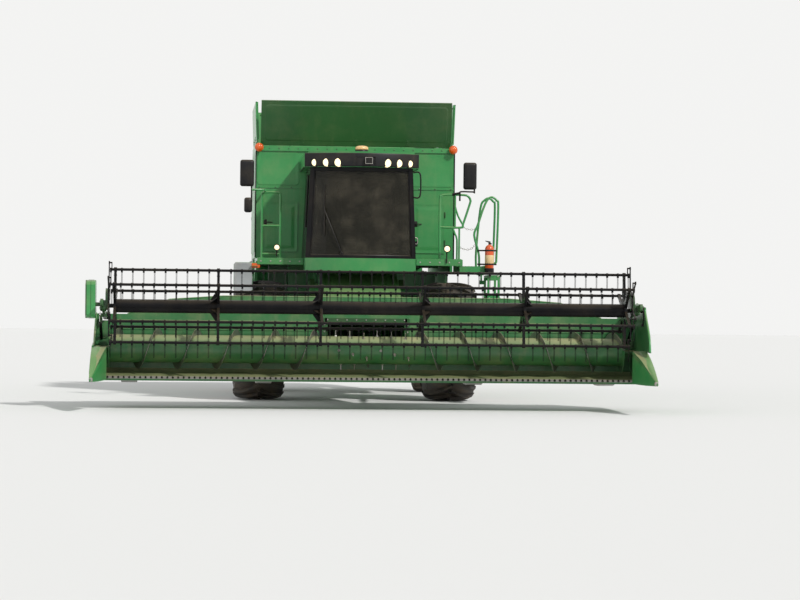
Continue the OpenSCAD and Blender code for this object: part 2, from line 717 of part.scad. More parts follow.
// Side shields: [low y, high y, low z, high z], hinged along the top edge
shield_y = [1035, 4150];
shield_z = [1390, 2190];
module shield(side) {
    x = side > 0 ? [body_hw - 30, body_hw] : [-body_hw, -body_hw + 30];
    color(green) place() difference() {
        union() {
            slab(x, [[1035, shield_z[1]], [1035, 1520], [1160, 1400], [2700, 1390],
                [2860, 1500], [4150, 1500], [4150, shield_z[1]]]);
            slab(side > 0 ? [body_hw - 4, body_hw + 14] : [-body_hw - 14, -body_hw + 4],
                [[1120, 1960], [1120, 1925], [4050, 1925], [4050, 1960]]);
        }
    }
}
module shield_left() { shield(1); }
module shield_right() { shield(-1); }

// Tank covers, open: the end ones lean outward, the side ones stand nearly upright
flap_t = 18;
flap_len = 720;
side_flap_len = 620;
lean = 22;
side_lean = 2;
module flap_panel(w, h) {
    block([-w, w], [-flap_t, 0], [0, h]);
    for (k = [-1, 0, 1]) block([k * (w - 30) - 15, k * (w - 30) + 15], [0, 22], [30, h - 20]);
    block([-w, w], [0, 22], [h - 40, h]);
    bar_x([-w, w], 0, 0, 12);
}
module flap_front() {
    color(dark_green) place() translate([0, 30, flap_z]) rotate([lean, 0, 0])
        flap_panel(1485, flap_len);
}
module flap_rear() {
    color(green) place() translate([0, tank_rear_y - 20, flap_z]) rotate([-lean, 0, 0])
        rotate([0, 0, 180]) flap_panel(1485, flap_len);
}
module side_flap() {
    translate([1530, tank_rear_y / 2, side_flap_z]) rotate([0, side_lean, 0])
        rotate([0, 0, 90]) flap_panel(tank_rear_y / 2 - 60, side_flap_len);
}
module flap_left() { color(green) place() side_flap(); }
module flap_right() { color(green) place() mirror([1, 0, 0]) side_flap(); }

// Unloading tube: elbow on the turret, long tube to the rear and a spout that turns down
tube_r = 165;
tube_end_y = 5180;
module unload_tube() {
    color(green) place() difference() {
        union() {
            translate([tube_x, tube_y, turret_z + gap]) cylinder(h = tube_z - turret_z, r = 180);
            translate([tube_x, tube_y - 175, tube_z]) rotate([-90, 0, 0])
                cylinder(h = tube_end_y - tube_y + 175 - 150, r = tube_r);
            for (y = [900, 2300, 3700]) translate([tube_x, y, tube_z]) rotate([-90, 0, 0])
                cylinder(h = 30, r = tube_r + 20);
            translate([tube_x, tube_end_y - 150, tube_z + 100]) rotate([160, 0, 0])
                cylinder(h = 520, r = tube_r + 5);
        }
        translate([tube_x, tube_end_y - 150, tube_z - 60]) rotate([160, 0, 0])
            cylinder(h = 600, r = tube_r - 10);
        translate([tube_x, 900, tube_z]) rotate([-90, 0, 0]) cylinder(h = 4300 - 150, r = tube_r - 8);
    }
}

// Ladder: two side plates with treads, hung on a hinge pin at its rear inner corner
ladder_x = [1925, 2115];
ladder_y = [-1470, -985];
ladder_z = [560, 1940];
module ladder() {
    color(green) place() {
        for (y = [ladder_y[0], ladder_y[1] - 12])
            difference() {
            block(ladder_x, [y, y + 12], ladder_z);
            for (z = [620 : 330 : 1700])
                block([ladder_x[0] + 35, ladder_x[1] - 35], [y - 1, y + 13], [z + 45, z + 270]);
        }
        for (z = [600 : 330 : 1930])
            block([ladder_x[0], ladder_x[1]], [ladder_y[0], ladder_y[1]], [z, z + 35]);
        block([1860, 1935], [-1000, -985], [1820, 1880]);
        block([1860, 1900], [-1000, -930], [1820, 1880]);
        translate([ladder_pin[0], ladder_pin[1], 1820]) cylinder(h = 176, r = 14);
    }
}

// Feederhouse: sloping box with a throat, pivot pins and lugs for the lift rods
lift_base = [-450, 780];
lift_eye = [-2250, 920];
header_back_y = -2860;
feeder_hw = 600;
module feederhouse() {
    color(green) place() {
        difference() {
            slab([-feeder_hw, feeder_hw], [[-540, 1930], [-600, 1975], [-2755, 1400], [-2755, 700],
                [-560, 1300], [-470, 1400]]);
            slab([-feeder_hw + 30, feeder_hw - 30], [[-400, 1900], [-620, 1940], [-2900, 1332],
                [-2900, 700], [-560, 1335], [-400, 1380]]);
        }
        both() {
            bar_x([feeder_hw - 5, 645], feeder_pivot_y, feeder_pivot_z, 110);
            bar_x([feeder_hw - 5, 735], feeder_pivot_y, feeder_pivot_z, 60);
            slab([feeder_hw - 5, feeder_hw + 40], [[-2380, 1000], [-2100, 1080], [-2180, 890],
                [-2300, 860]]);
            bar_x([feeder_hw, 815], lift_eye[0], lift_eye[1], 20);
            // Face frame that the header hangs on
            slab([feeder_hw - 2, feeder_hw + 50], [[-2755, 1400], [-2680, 1380], [-2680, 720],
                [-2755, 700]]);
        }
    }
}

// Header frame: back sheet with the feeder opening, floor, end sheets, tubes and dividers
opening_hw = 560;
sheet_t = 24;
arm_pivot = [-2800, 1300];
function end_x(side, x) = side > 0 ? x : [-x[1], -x[0]];
module header_frame() {
    color(green) place() {
        difference() {
            slab([-header_hw + 10, header_hw - 10], [[header_back_y, 480], [header_back_y, 1330],
                [header_back_y + sheet_t, 1330], [header_back_y + sheet_t, 480]]);
            block([-opening_hw, opening_hw], [header_back_y - 1, header_back_y + sheet_t + 1],
                [640, 1240]);
            // Notches for the reel arms
            both() block([3722, 3808], [header_back_y - 1, header_back_y + sheet_t + 1], [1234, 1400]);
        }
        // Floor, curved round the auger and running forward to the knife
        slab([-header_hw + 10, header_hw - 10], [[-3790, 430], [-3500, 440], [-3180, 480],
            [-2990, 500], [header_back_y + 12, 560], [header_back_y + 12, 480], [-3180, 430],
            [-3500, 395], [-3790, 400]]);
        // Tubes across the back
        for (z = [1290, 560]) bar_x([-3710, 3710], -2797, z, 40);
        // Upright ribs behind the sheet, clear of the feeder opening
        for (x = [-3300 : 660 : 3300]) if (abs(x) > 700)
            slab([x - 12, x + 12], [[-2840, 1290], [-2760, 1290], [-2760, 560], [-2840, 520]]);
        for (s = [-1, 1]) slab(end_x(s, [opening_hw + 30, opening_hw + 90]), [[-2850, 1290],
            [-2756, 1290], [-2756, 560], [-2850, 560]]);
        // Raised crop screen over the feeder
        translate([0, header_back_y + sheet_t, 0]) rotate([90, 0, 0]) linear_extrude(12)
            polygon([[-3450, 1325], [-2850, 1545], [-2080, 1600], [2080, 1600], [2850, 1545],
            [3450, 1325]]);
        // The left end sheet stands higher, as no drive passes over it
        slab([header_hw - 26, header_hw], [[-2960, 1320], [-3150, 1500], [-3300, 1540],
            [-3400, 1540], [-3950, 1490], [-4020, 1420], [-4360, 1090], [-4440, 860], [-3560, 900]]);
        // End sheets and crop dividers
        for (s = [-1, 1]) {
            slab(end_x(s, [header_hw - 26, header_hw]), [[-2740, 1330], [-2740, 480], [-3050, 430],
                [-4120, 400], [-4120, 880], [-3560, 940], [-3080, 1230], [-2960, 1330]]);
            hull() for (c = [[-4100, 3705, 420, 880], [-4480, 3760, 415, 760],
                [-divider_tip + 40, 3872, 415, 480]])
                block(end_x(s, [c[1], header_hw - 4]), [c[0] - 2, c[0]], [c[2], c[3]]);
            block(end_x(s, [3880, header_hw - 8]), [-divider_tip, -divider_tip + 45], [425, 455]);
            // Lug of the reel arm and of its lift ram
            slab(end_x(s, [3700, 3722]), [for (p = [[-70, -60], [60, -60], [60, 60], [-70, 60]])
                [arm_pivot[0] + p[0], arm_pivot[1] + p[1]]]);
            slab(end_x(s, [3842, header_hw - 20]), [[-3040, 900], [-2960, 900], [-2960, 1020],
                [-3040, 1020]]);
            bar_x(end_x(s, [3695, header_hw - 20]), arm_pivot[0], arm_pivot[1], 20);
            bar_x(end_x(s, [3745, header_hw - 20]), ram_base[0], ram_base[1], 12);
            bar_x(end_x(s, [auger_end - 130, header_hw - 20]), auger_y, auger_z, 35);
        }
    }
}

// Cutter bar: knife back with pointed guards at three inches
guard_pitch = 76.2;
guard_count = 98;
module cutterbar() {
    half = guard_pitch * (guard_count - 1) / 2;
    color("DimGray") place() {
        slab([-header_hw + 62, header_hw - 62], [[-3790, knife_z - 20], [-3790, knife_z + 15],
            [-3850, knife_z + 12], [-3850, knife_z - 20]]);
        for (i = [0 : guard_count - 1]) translate([-half + i * guard_pitch, 0, 0])
            slab([-11, 11], [[-3845, knife_z - 24], [-3845, knife_z + 16], [-3900, knife_z + 12],
            [-3960, knife_z - 8], [-3900, knife_z - 28]]);
    }
}

// Header auger: tube on stub shafts, with a disc at each end
auger_y = -3180;
auger_z = 840;
auger_end = 3700;
module header_auger() {
    color(green) place() difference() {
        union() {
            bar_x([-auger_end, auger_end], auger_y, auger_z, 200);
            both() bar_x([auger_end - 12, auger_end], auger_y, auger_z, 290);
        }
        both() bar_x([auger_end - 135, header_hw], auger_y, auger_z, 35 + running);
    }
}

// Auger flights: two opposed helices that bring the crop to the middle.
// A flight is a strip from the tube to flight_r, thick in x, with a ring every flight_step.
flight_r = 290;
flight_pitch = 560;
flight_step = 24;
flight_from = 620;
flight_to = auger_end - 12;
function flight_ring(a, x, t) = [for (p = [[195, 0], [flight_r, 0], [flight_r, t], [195, t]])
    [x + p[1], auger_y + p[0] * cos(a), auger_z + p[0] * sin(a)]];
module flight(side) {
    turns = (flight_to - flight_from) / flight_pitch;
    n = ceil(turns * 360 / flight_step);
    rings = [for (i = [0 : n])
        flight_ring(i * turns * 360 / n, flight_from + i * (flight_to - flight_from) / n, 8)];
    points = [for (ring = rings, p = ring) [side * p[0], p[1], p[2]]];
    sides = [for (i = [0 : n - 1], k = [0 : 3])
        let (a = 4 * i + k, b = 4 * i + (k + 1) % 4) [a, b, b + 4, a + 4]];
    caps = [[3, 2, 1, 0], [4 * n, 4 * n + 1, 4 * n + 2, 4 * n + 3]];
    faces = concat(sides, caps);
    polyhedron(points, side < 0 ? faces : [for (f = faces) [for (k = [len(f) - 1 : -1 : 0]) f[k]]]);
}
module auger_flights() {
    color(green) place() {
        flight(1);
        flight(-1);
    }
}

// Feeder lift rams: a barrel and a rod on each side
ram_x = 768;
lift_dir = (lift_eye - lift_base) / norm(lift_eye - lift_base);
function along(p, d, t) = [ram_x, p[0] + d[0] * t, p[1] + d[1] * t];
module lift_barrels() {
    color(black) place() both() difference() {
        union() {
            rod(along(lift_base, lift_dir, 30), along(lift_base, lift_dir, 1180), 45);
            bar_x([ram_x - 28, ram_x + 28], lift_base[0], lift_base[1], 55);
        }
        bar_x([ram_x - 60, ram_x + 60], lift_base[0], lift_base[1], 25 + running);
        rod(along(lift_base, lift_dir, 100), along(lift_base, lift_dir, 1300), 30.1);
    }
}
module lift_rods() {
    reach = norm(lift_eye - lift_base);
    color(steel) place() both() difference() {
        union() {
            rod(along(lift_base, lift_dir, 420), along(lift_base, lift_dir, reach - 30), 30);
            bar_x([ram_x - 25, ram_x + 25], lift_eye[0], lift_eye[1], 50);
        }
        bar_x([ram_x - 60, ram_x + 60], lift_eye[0], lift_eye[1], 34);
    }
}

// Reel arms, from the pivots on the header to past the reel axis
arm_x = [3745, 3785];
arm_dir = [reel_y - arm_pivot[0], reel_z - arm_pivot[1]] / norm([reel_y - arm_pivot[0],
    reel_z - arm_pivot[1]]);
arm_up = [arm_dir[1], -arm_dir[0]];
function on_arm(t, u) = arm_pivot + arm_dir * t + arm_up * u;
ram_base = [-3000, 980];
ram_eye = [-3620, 1330];
module reel_arms() {
    color(dark_green) place() both() difference() {
        union() {
            slab(arm_x, [on_arm(-40, -45), on_arm(-40, 45), on_arm(1640, 45), on_arm(1640, -45)]);
            bar_x([3728, arm_x[1]], arm_pivot[0], arm_pivot[1], 55);
            slab([arm_x[0], arm_x[0] + 12], [on_arm(790, -40), on_arm(860, -40),
                [ram_eye[0] - 30, ram_eye[1] - 30], [ram_eye[0] + 30, ram_eye[1] - 30]]);
            bar_x([arm_x[0], 3838], ram_eye[0], ram_eye[1], 12);
        }
        bar_x([3700, 3900], arm_pivot[0], arm_pivot[1], 20 + running);
    }
}

// Carriages that slide on the arms and carry the reel's bearings, star plates and drive
star_x = [3672, 3690];
module reel_carriage() {
    c = norm([reel_y - arm_pivot[0], reel_z - arm_pivot[1]]);
    color(dark_green) place() {
        both() difference() {
            union() {
                slab([3720, 3800], [on_arm(c - 130, -62), on_arm(c - 130, 62),
                    on_arm(c + 130, 62), on_arm(c + 130, -62)]);
                bar_x([3670, 3725], reel_y, reel_z + star_rise, 150);
            }
            slab(arm_x - [0.5, -0.5], [on_arm(c - 200, -45.5), on_arm(c - 200, 45.5),
                on_arm(c + 200, 45.5), on_arm(c + 200, -45.5)]);
            bar_x([3600, 3737], reel_y, reel_z, 30 + running);
        }
        // Drive shield on the right, outside the arm
        slab([-header_hw - drive_t, -header_hw + 48], [[-4210, 1330], [-4120, 1275],
            [-3880, 1275], [-3800, 1330], [-3800, 1740], [-3880, 1805], [-4120, 1805],
            [-4210, 1740]]);
        block([-header_hw - 10, -3790], [-4040, -3960], [1440, 1495]);
    }
}

// Reel: centre tube with a two-sheet spider at each bearing of the bats
spider_count = 6;
reel_hw = 3594;
first_bat = 84.5;
function bat_at(i) = let (a = first_bat + i * 360 / bat_count)
    [reel_y + bat_r * cos(a), reel_z + bat_r * sin(a)];
bar_r = 20;
module reel() {
    color(black) place() difference() {
        union() {
            bar_x([-reel_hw, reel_hw], reel_y, reel_z, 95);
            both() bar_x([reel_hw - 5, 3730], reel_y, reel_z, 30);
            for (i = [0 : spider_count - 1]) {
                x = -reel_hw + i * 2 * reel_hw / (spider_count - 1);
                bar_x([x - 22, x + 22], reel_y, reel_z, 135);
                for (k = [0 : bat_count - 1]) {
                    b = bat_at(k);
                    translate([x, reel_y, reel_z])
                        rotate([first_bat + k * 360 / bat_count, 0, 0])
                        block([-20, 20], [100, bat_r - 20], [-14, 14]);
                    bar_x([x - 22, x + 22], b[0], b[1], 32);
                }
            }
        }
        for (k = [0 : bat_count - 1])
            bar_x([-header_hw, header_hw], bat_at(k)[0], bat_at(k)[1], bar_r + running);
    }
}

// One bat: bar, tines hanging from it and a crank at each end for the control stars
bat_hw = 3650;
module bat(k) {
    b = bat_at(k);
    n = 24;
    color(black) place() {
        bar_x([-bat_hw, bat_hw], b[0], b[1], bar_r);
        for (i = [-n : n]) {
            x = i * tine_pitch;
            near = [for (s = [0 : spider_count - 1])
                if (abs(x + reel_hw - s * 2 * reel_hw / (spider_count - 1)) < 34) 1];
            if (len(near) == 0) {
                block([x - 10, x + 10], [b[0] - 12, b[0] + 12], [b[1] - 50, b[1] - 10]);
                block([x - 3, x + 3], [b[0] - 3, b[0] + 3], [b[1] - tine_len, b[1] - 40]);
            }
        }
        both() {
            block([bat_hw - 12, bat_hw], [b[0] - 16, b[0] + 16], [b[1] - 5, b[1] + star_rise]);
            bar_x([bat_hw - 12, star_x[1]], b[0], b[1] + star_rise, 11);
        }
    }
}
module bat_1() { bat(0); }
module bat_2() { bat(1); }
module bat_3() { bat(2); }
module bat_4() { bat(3); }
module bat_5() { bat(4); }
module bat_6() { bat(5); }

// Control stars at both ends, turning round the raised bearing plates
module cam_stars() {
    color(black) place() both() difference() {
        union() {
            bar_x(star_x, reel_y, reel_z + star_rise, 190);
            for (k = [0 : bat_count - 1]) {
                translate([0, reel_y, reel_z + star_rise])
                    rotate([first_bat + k * 360 / bat_count, 0, 0])
                    block(star_x, [170, bat_r], [-16, 16]);
                bar_x(star_x, bat_at(k)[0], bat_at(k)[1] + star_rise, 24);
            }
        }
        bar_x([3600, 3800], reel_y, reel_z + star_rise, 150 + running);
        for (k = [0 : bat_count - 1])
            bar_x([3600, 3800], bat_at(k)[0], bat_at(k)[1] + star_rise, 11 + running);
    }
}

// Reel lift rams, outside the arms
reel_ram_x = 3815;
ram_dir = (ram_eye - ram_base) / norm(ram_eye - ram_base);
function on_ram(t) = [reel_ram_x, ram_base[0] + ram_dir[0] * t, ram_base[1] + ram_dir[1] * t];
module reel_barrels() {
    color(black) place() both() difference() {
        union() {
            rod(on_ram(18), on_ram(470), 22);
            bar_x([reel_ram_x - 15, reel_ram_x + 15], ram_base[0], ram_base[1], 26);
        }
        bar_x([reel_ram_x - 30, reel_ram_x + 30], ram_base[0], ram_base[1], 12 + running);
        rod(on_ram(40), on_ram(600), 14.1);
    }
}
module reel_rods() {
    color(steel) place() both() difference() {
        union() {
            rod(on_ram(200), on_ram(norm(ram_eye - ram_base) - 22), 14);
            bar_x([reel_ram_x - 12, reel_ram_x + 12], ram_eye[0], ram_eye[1], 34);
        }
        bar_x([reel_ram_x - 30, reel_ram_x + 30], ram_eye[0], ram_eye[1], 24);
    }
}

chassis();
rear_axle();
separator();
tank();
engine();
rear_hood();
chopper();
deck();
rails();
mirrors();
cab_body();
cab_roof();
cab_glass();
cab_seat();
lamps();
beacons();
exhaust();
screen_housing();
screen();
tyre_fl();
tyre_fr();
rim_fl();
rim_fr();
tyre_rl();
tyre_rr();
rim_rl();
rim_rr();
knuckle_left();
knuckle_right();
tie_rod();
door();
door_glass();
shield_left();
shield_right();
flap_front();
flap_rear();
flap_left();
flap_right();
unload_tube();
ladder();
extinguisher();
feederhouse();
header_frame();
cutterbar();
header_auger();
auger_flights();
lift_barrels();
lift_rods();
reel_arms();
reel_carriage();
reel();
bat_1();
bat_2();
bat_3();
bat_4();
bat_5();
bat_6();
cam_stars();
reel_barrels();
reel_rods();
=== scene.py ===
import json
import math

import bmesh
import bpy
import numpy as np
from mathutils import Matrix, Vector
from mathutils.geometry import tessellate_polygon

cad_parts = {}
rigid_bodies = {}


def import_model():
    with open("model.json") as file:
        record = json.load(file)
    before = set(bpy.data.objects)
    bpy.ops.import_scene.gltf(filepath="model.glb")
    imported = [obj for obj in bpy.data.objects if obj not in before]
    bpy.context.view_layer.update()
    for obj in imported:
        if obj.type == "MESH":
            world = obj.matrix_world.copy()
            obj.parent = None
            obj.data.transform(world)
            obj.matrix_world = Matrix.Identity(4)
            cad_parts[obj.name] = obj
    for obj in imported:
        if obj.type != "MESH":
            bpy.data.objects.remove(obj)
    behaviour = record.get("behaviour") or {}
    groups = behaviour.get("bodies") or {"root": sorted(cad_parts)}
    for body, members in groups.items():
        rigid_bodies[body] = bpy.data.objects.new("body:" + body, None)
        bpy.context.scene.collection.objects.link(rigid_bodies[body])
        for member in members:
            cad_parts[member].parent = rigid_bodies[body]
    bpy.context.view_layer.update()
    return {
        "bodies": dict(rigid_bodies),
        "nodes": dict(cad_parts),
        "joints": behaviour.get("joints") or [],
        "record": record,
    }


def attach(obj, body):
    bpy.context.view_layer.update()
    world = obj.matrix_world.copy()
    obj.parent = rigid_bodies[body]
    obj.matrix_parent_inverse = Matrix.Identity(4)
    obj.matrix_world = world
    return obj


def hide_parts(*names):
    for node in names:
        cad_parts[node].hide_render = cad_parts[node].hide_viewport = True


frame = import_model()
nodes = frame["nodes"]
print("frame loaded:", len(nodes), "nodes")

# the CAD's frame against the front axle, in metres: x of the middle, y of the axle
middle = np.array([0.045, -0.125, 0.0])


# camera, light and floor
view = dict(
    place=(-2.435, -40.045, 1.6),   # metres, in the CAD's frame
    forward=(0.0799, 0.9968, -0.0008),
    roll=0.6,                       # degrees, the picture leans clockwise
    focal=2556 / 800 * 36,          # mm on a 36 mm sensor, pixels of focal length over 800
)
light = dict(world=0.52, sun=2.6, sunSize=3, fill=0.35)
ground = dict(size=160, colour=(0.80, 0.79, 0.76), seen=(0.90, 0.90, 0.89))


# sockets linked to a node's inputs, and numbers and colours set on them
def feed(tree, node, values):
    for name, value in values.items():
        socket = node.inputs[name]
        if isinstance(value, bpy.types.NodeSocket):
            tree.links.new(value, socket)
        else:
            socket.default_value = (*value, 1) if socket.type == "RGBA" else value


# one sum, product or the like of two sockets or numbers
def mathOf(tree, kind, a, b):
    node = tree.nodes.new("ShaderNodeMath")
    node.operation = kind
    node.use_clamp = kind in ("ADD", "MULTIPLY")
    feed(tree, node, {0: a, 1: b})
    return node.outputs[0]


# right, up and back axes from the forward direction, then a turn about it by the roll
def setCamera():
    ahead = Vector(view["forward"]).normalized()
    right = ahead.cross(Vector((0, 0, 1))).normalized()
    up = right.cross(ahead)
    turn = Matrix.Rotation(-math.radians(view["roll"]), 3, ahead)
    right, up = turn @ right, turn @ up
    camera = bpy.data.objects.new("camera", bpy.data.cameras.new("camera"))
    bpy.context.collection.objects.link(camera)
    axes = Matrix((right, up, -ahead)).transposed()
    camera.matrix_world = Matrix.Translation(Vector(view["place"])) @ axes.to_4x4()
    camera.data.sensor_width = 36
    camera.data.lens = view["focal"]
    camera.data.clip_end = 400
    bpy.context.scene.camera = camera


# camera, glossy and transmission rays see a plain pale colour in place of the shaded one
def seenWhite(tree, shader, colour):
    path = tree.nodes.new("ShaderNodeLightPath")
    total = path.outputs["Is Camera Ray"]
    for ray in ("Is Glossy Ray", "Is Transmission Ray"):
        total = mathOf(tree, "MAXIMUM", total, path.outputs[ray])
    pale = tree.nodes.new("ShaderNodeBackground")
    feed(tree, pale, {"Color": colour, "Strength": 1.0})
    mix = tree.nodes.new("ShaderNodeMixShader")
    feed(tree, mix, {0: total, 1: shader.outputs[0], 2: pale.outputs[0]})
    return mix


# a pale sky, the sun as key light and a wide soft fill from the other side
def setLight():
    world = bpy.data.worlds.new("studio")
    bpy.context.scene.world = world
    world.use_nodes = True
    tree = world.node_tree
    sky = tree.nodes["Background"]
    feed(tree, sky, {"Color": (0.93, 0.96, 1.0), "Strength": light["world"]})
    mix = seenWhite(tree, sky, ground["seen"])
    feed(tree, tree.nodes["World Output"], {"Surface": mix.outputs[0]})
    for name, power, size, tilt, turn in (
        ("key", light["sun"], light["sunSize"], 52, 36),
        ("fill", light["fill"], 60, 62, -55),
    ):
        lamp = bpy.data.lights.new(name, "SUN")
        lamp.energy = power
        lamp.angle = math.radians(size)
        holder = bpy.data.objects.new(name, lamp)
        holder.rotation_euler = (math.radians(tilt), 0, math.radians(turn))
        bpy.context.collection.objects.link(holder)


# one pale plane under the wheels
def setFloor():
    half = ground["size"] / 2
    mesh = bpy.data.meshes.new("floor")
    mesh.from_pydata([(-half, -half, 0), (half, -half, 0), (half, half, 0), (-half, half, 0)],
                     [], [(0, 1, 2, 3)])
    floor = bpy.data.objects.new("floor", mesh)
    bpy.context.collection.objects.link(floor)
    stuff = bpy.data.materials.new("floor")
    stuff.use_nodes = True
    tree = stuff.node_tree
    feed(tree, tree.nodes["Principled BSDF"], {"Base Color": ground["colour"], "Roughness": 0.9})
    mesh.materials.append(stuff)


bpy.context.scene.view_settings.view_transform = "Standard"
setCamera()
setLight()
setFloor()
print("camera, light and floor set")


# materials: every one reads Object coordinates in metres
dustTint = (0.50, 0.37, 0.20)


# a new material with its tree, its shader and its Object coordinates
def startMaterial(name):
    stuff = bpy.data.materials.new(name)
    stuff.use_nodes = True
    tree = stuff.node_tree
    coords = tree.nodes.new("ShaderNodeTexCoord").outputs["Object"]
    return stuff, tree, tree.nodes["Principled BSDF"], coords


# noise at a scale in 1/m, its space stretched along an axis when asked
def noiseOf(tree, coords, scale, detail=4, rough=0.55, stretch=None):
    if stretch:
        mapping = tree.nodes.new("ShaderNodeMapping")
        feed(tree, mapping, {"Scale": stretch, "Vector": coords})
        coords = mapping.outputs[0]
    noise = tree.nodes.new("ShaderNodeTexNoise")
    feed(tree, noise, {"Scale": scale, "Detail": detail, "Roughness": rough, "Vector": coords})
    return noise.outputs[0]


# smooth step of a value from low to high
def rampOf(tree, value, low, high, toLow=0.0, toHigh=1.0):
    node = tree.nodes.new("ShaderNodeMapRange")
    node.interpolation_type = "SMOOTHSTEP"
    feed(tree, node, {"Value": value, "From Min": low, "From Max": high, "To Min": toLow,
                      "To Max": toHigh})
    return node.outputs[0]


# colour a goes over to colour b by the factor
def mixOf(tree, factor, a, b):
    node = tree.nodes.new("ShaderNodeMix")
    node.data_type = "RGBA"
    feed(tree, node, {0: factor, 6: a, 7: b})   # 6 and 7 are its two colours
    return node.outputs[2]


# a height that tilts the shader's normal
def bumpOf(tree, shader, height, strength, distance):
    node = tree.nodes.new("ShaderNodeBump")
    feed(tree, node, {"Strength": strength, "Distance": distance, "Height": height})
    feed(tree, shader, {"Normal": node.outputs[0]})


# how far the surface faces up, 0 to 1
def upward(tree):
    up = tree.nodes.new("ShaderNodeSeparateXYZ")
    feed(tree, up, {0: tree.nodes.new("ShaderNodeNewGeometry").outputs["Normal"]})
    return rampOf(tree, up.outputs[2], 0.15, 0.95)


# sprayed paint under harvest dust: the paint drifts a little in colour over a metre, dust lies
# thick on what faces up and in blown patches elsewhere, and chips show dark steel
def paint(name, colour, rough=0.32, dust=0.5, metal=0.0, chips=0.0, coat=0.25, shine=0.5):
    stuff, tree, shader, coords = startMaterial(name)
    drift = rampOf(tree, noiseOf(tree, coords, 0.9, 3), 0.3, 0.7)
    pale = tuple(min(1, c * 1.22 + 0.004) for c in colour)
    base = mixOf(tree, drift, colour, pale)
    patches = rampOf(tree, noiseOf(tree, coords, 2.3, 6, 0.62), 0.42, 0.78, 0.0, dust * 0.55)
    streaks = rampOf(tree, noiseOf(tree, coords, 9, 4, 0.6, (1, 1, 0.12)), 0.5, 0.8, 0, dust * 0.3)
    lying = mathOf(tree, "MULTIPLY", upward(tree), min(1.0, dust * 1.1))
    total = mathOf(tree, "ADD", mathOf(tree, "ADD", patches, streaks), lying)
    grains = rampOf(tree, noiseOf(tree, coords, 160, 3, 0.7), 0.35, 0.65, 0.75, 1.0)
    total = mathOf(tree, "MULTIPLY", total, grains)
    base = mixOf(tree, total, base, dustTint)
    if chips:
        spots = rampOf(tree, noiseOf(tree, coords, 38, 5, 0.7), 0.70, 0.73, 0.0, chips)
        base = mixOf(tree, spots, base, (0.09, 0.075, 0.06))
    feed(tree, shader, {"Base Color": base, "Roughness": rampOf(tree, total, 0, 0.8, rough, 0.85),
                        "Metallic": metal, "Specular IOR Level": shine, "Coat Weight": coat,
                        "Coat Roughness": 0.18})
    bumpOf(tree, shader, noiseOf(tree, coords, 420, 2), 0.12, 0.0006)
    return stuff


# tyre rubber: near black, browned by soil on the lugs, matte with fine pitting
def rubber(name):
    stuff, tree, shader, coords = startMaterial(name)
    soil = rampOf(tree, noiseOf(tree, coords, 3.1, 6, 0.65), 0.38, 0.72, 0.05, 0.75)
    grains = rampOf(tree, noiseOf(tree, coords, 90, 4, 0.7), 0.3, 0.7, 0.5, 1.0)
    factor = mathOf(tree, "MULTIPLY", soil, grains)
    feed(tree, shader, {
        "Base Color": mixOf(tree, factor, (0.022, 0.021, 0.020), (0.16, 0.115, 0.07)),
        "Roughness": rampOf(tree, factor, 0, 1, 0.62, 0.95)})
    bumpOf(tree, shader, noiseOf(tree, coords, 260, 4), 0.3, 0.0012)
    return stuff


# tinted cab glass, a thin reflecting pane that lets part of the light through, dusted
def glass(name, tint, alpha):
    stuff, tree, shader, coords = startMaterial(name)
    film = rampOf(tree, noiseOf(tree, coords, 3, 6, 0.65), 0.40, 0.90, 0.0, 0.16)
    specks = rampOf(tree, noiseOf(tree, coords, 85, 1), 0.765, 0.80, 0.0, 0.6)
    dusty = mathOf(tree, "ADD", film, specks)
    feed(tree, shader, {"Base Color": mixOf(tree, dusty, tint, (0.42, 0.36, 0.26)),
                        "Roughness": rampOf(tree, dusty, 0, 1, 0.04, 0.6),
                        "Alpha": rampOf(tree, dusty, 0, 1, alpha, 0.97),
                        "Specular IOR Level": 0.15})
    return stuff


# A moulded lamp lens: ribbed in height, lit from behind when glow is above zero
def lens(name, colour, glow, ribs):
    stuff, tree, shader, coords = startMaterial(name)
    wave = tree.nodes.new("ShaderNodeTexWave")
    feed(tree, wave, {"Scale": ribs, "Distortion": 0.0, "Vector": coords})
    spots = rampOf(tree, noiseOf(tree, coords, 45, 4), 0.45, 0.75, 0.0, 0.45)
    feed(tree, shader, {"Base Color": mixOf(tree, spots, colour, tuple(c * 0.6 for c in colour)),
                        "Roughness": 0.16, "Emission Color": colour, "Emission Strength": glow})
    bumpOf(tree, shader, wave.outputs[1], 0.35, 0.002)
    return stuff


# woven seat cloth: two crossed waves for warp and weft, a little worn pale
def cloth(name, colour):
    stuff, tree, shader, coords = startMaterial(name)
    threads = []
    for turn in ("X", "Z"):
        wave = tree.nodes.new("ShaderNodeTexWave")
        wave.bands_direction = turn
        feed(tree, wave, {"Scale": 220, "Vector": coords})
        threads.append(wave.outputs[1])
    weave = mathOf(tree, "MULTIPLY", threads[0], threads[1])
    worn = rampOf(tree, noiseOf(tree, coords, 7, 4), 0.4, 0.75, 0.0, 0.6)
    feed(tree, shader, {
        "Base Color": mixOf(tree, worn, colour, tuple(c * 1.9 + 0.01 for c in colour)),
        "Roughness": 0.9, "Sheen Weight": 0.3})
    bumpOf(tree, shader, weave, 0.4, 0.001)
    return stuff


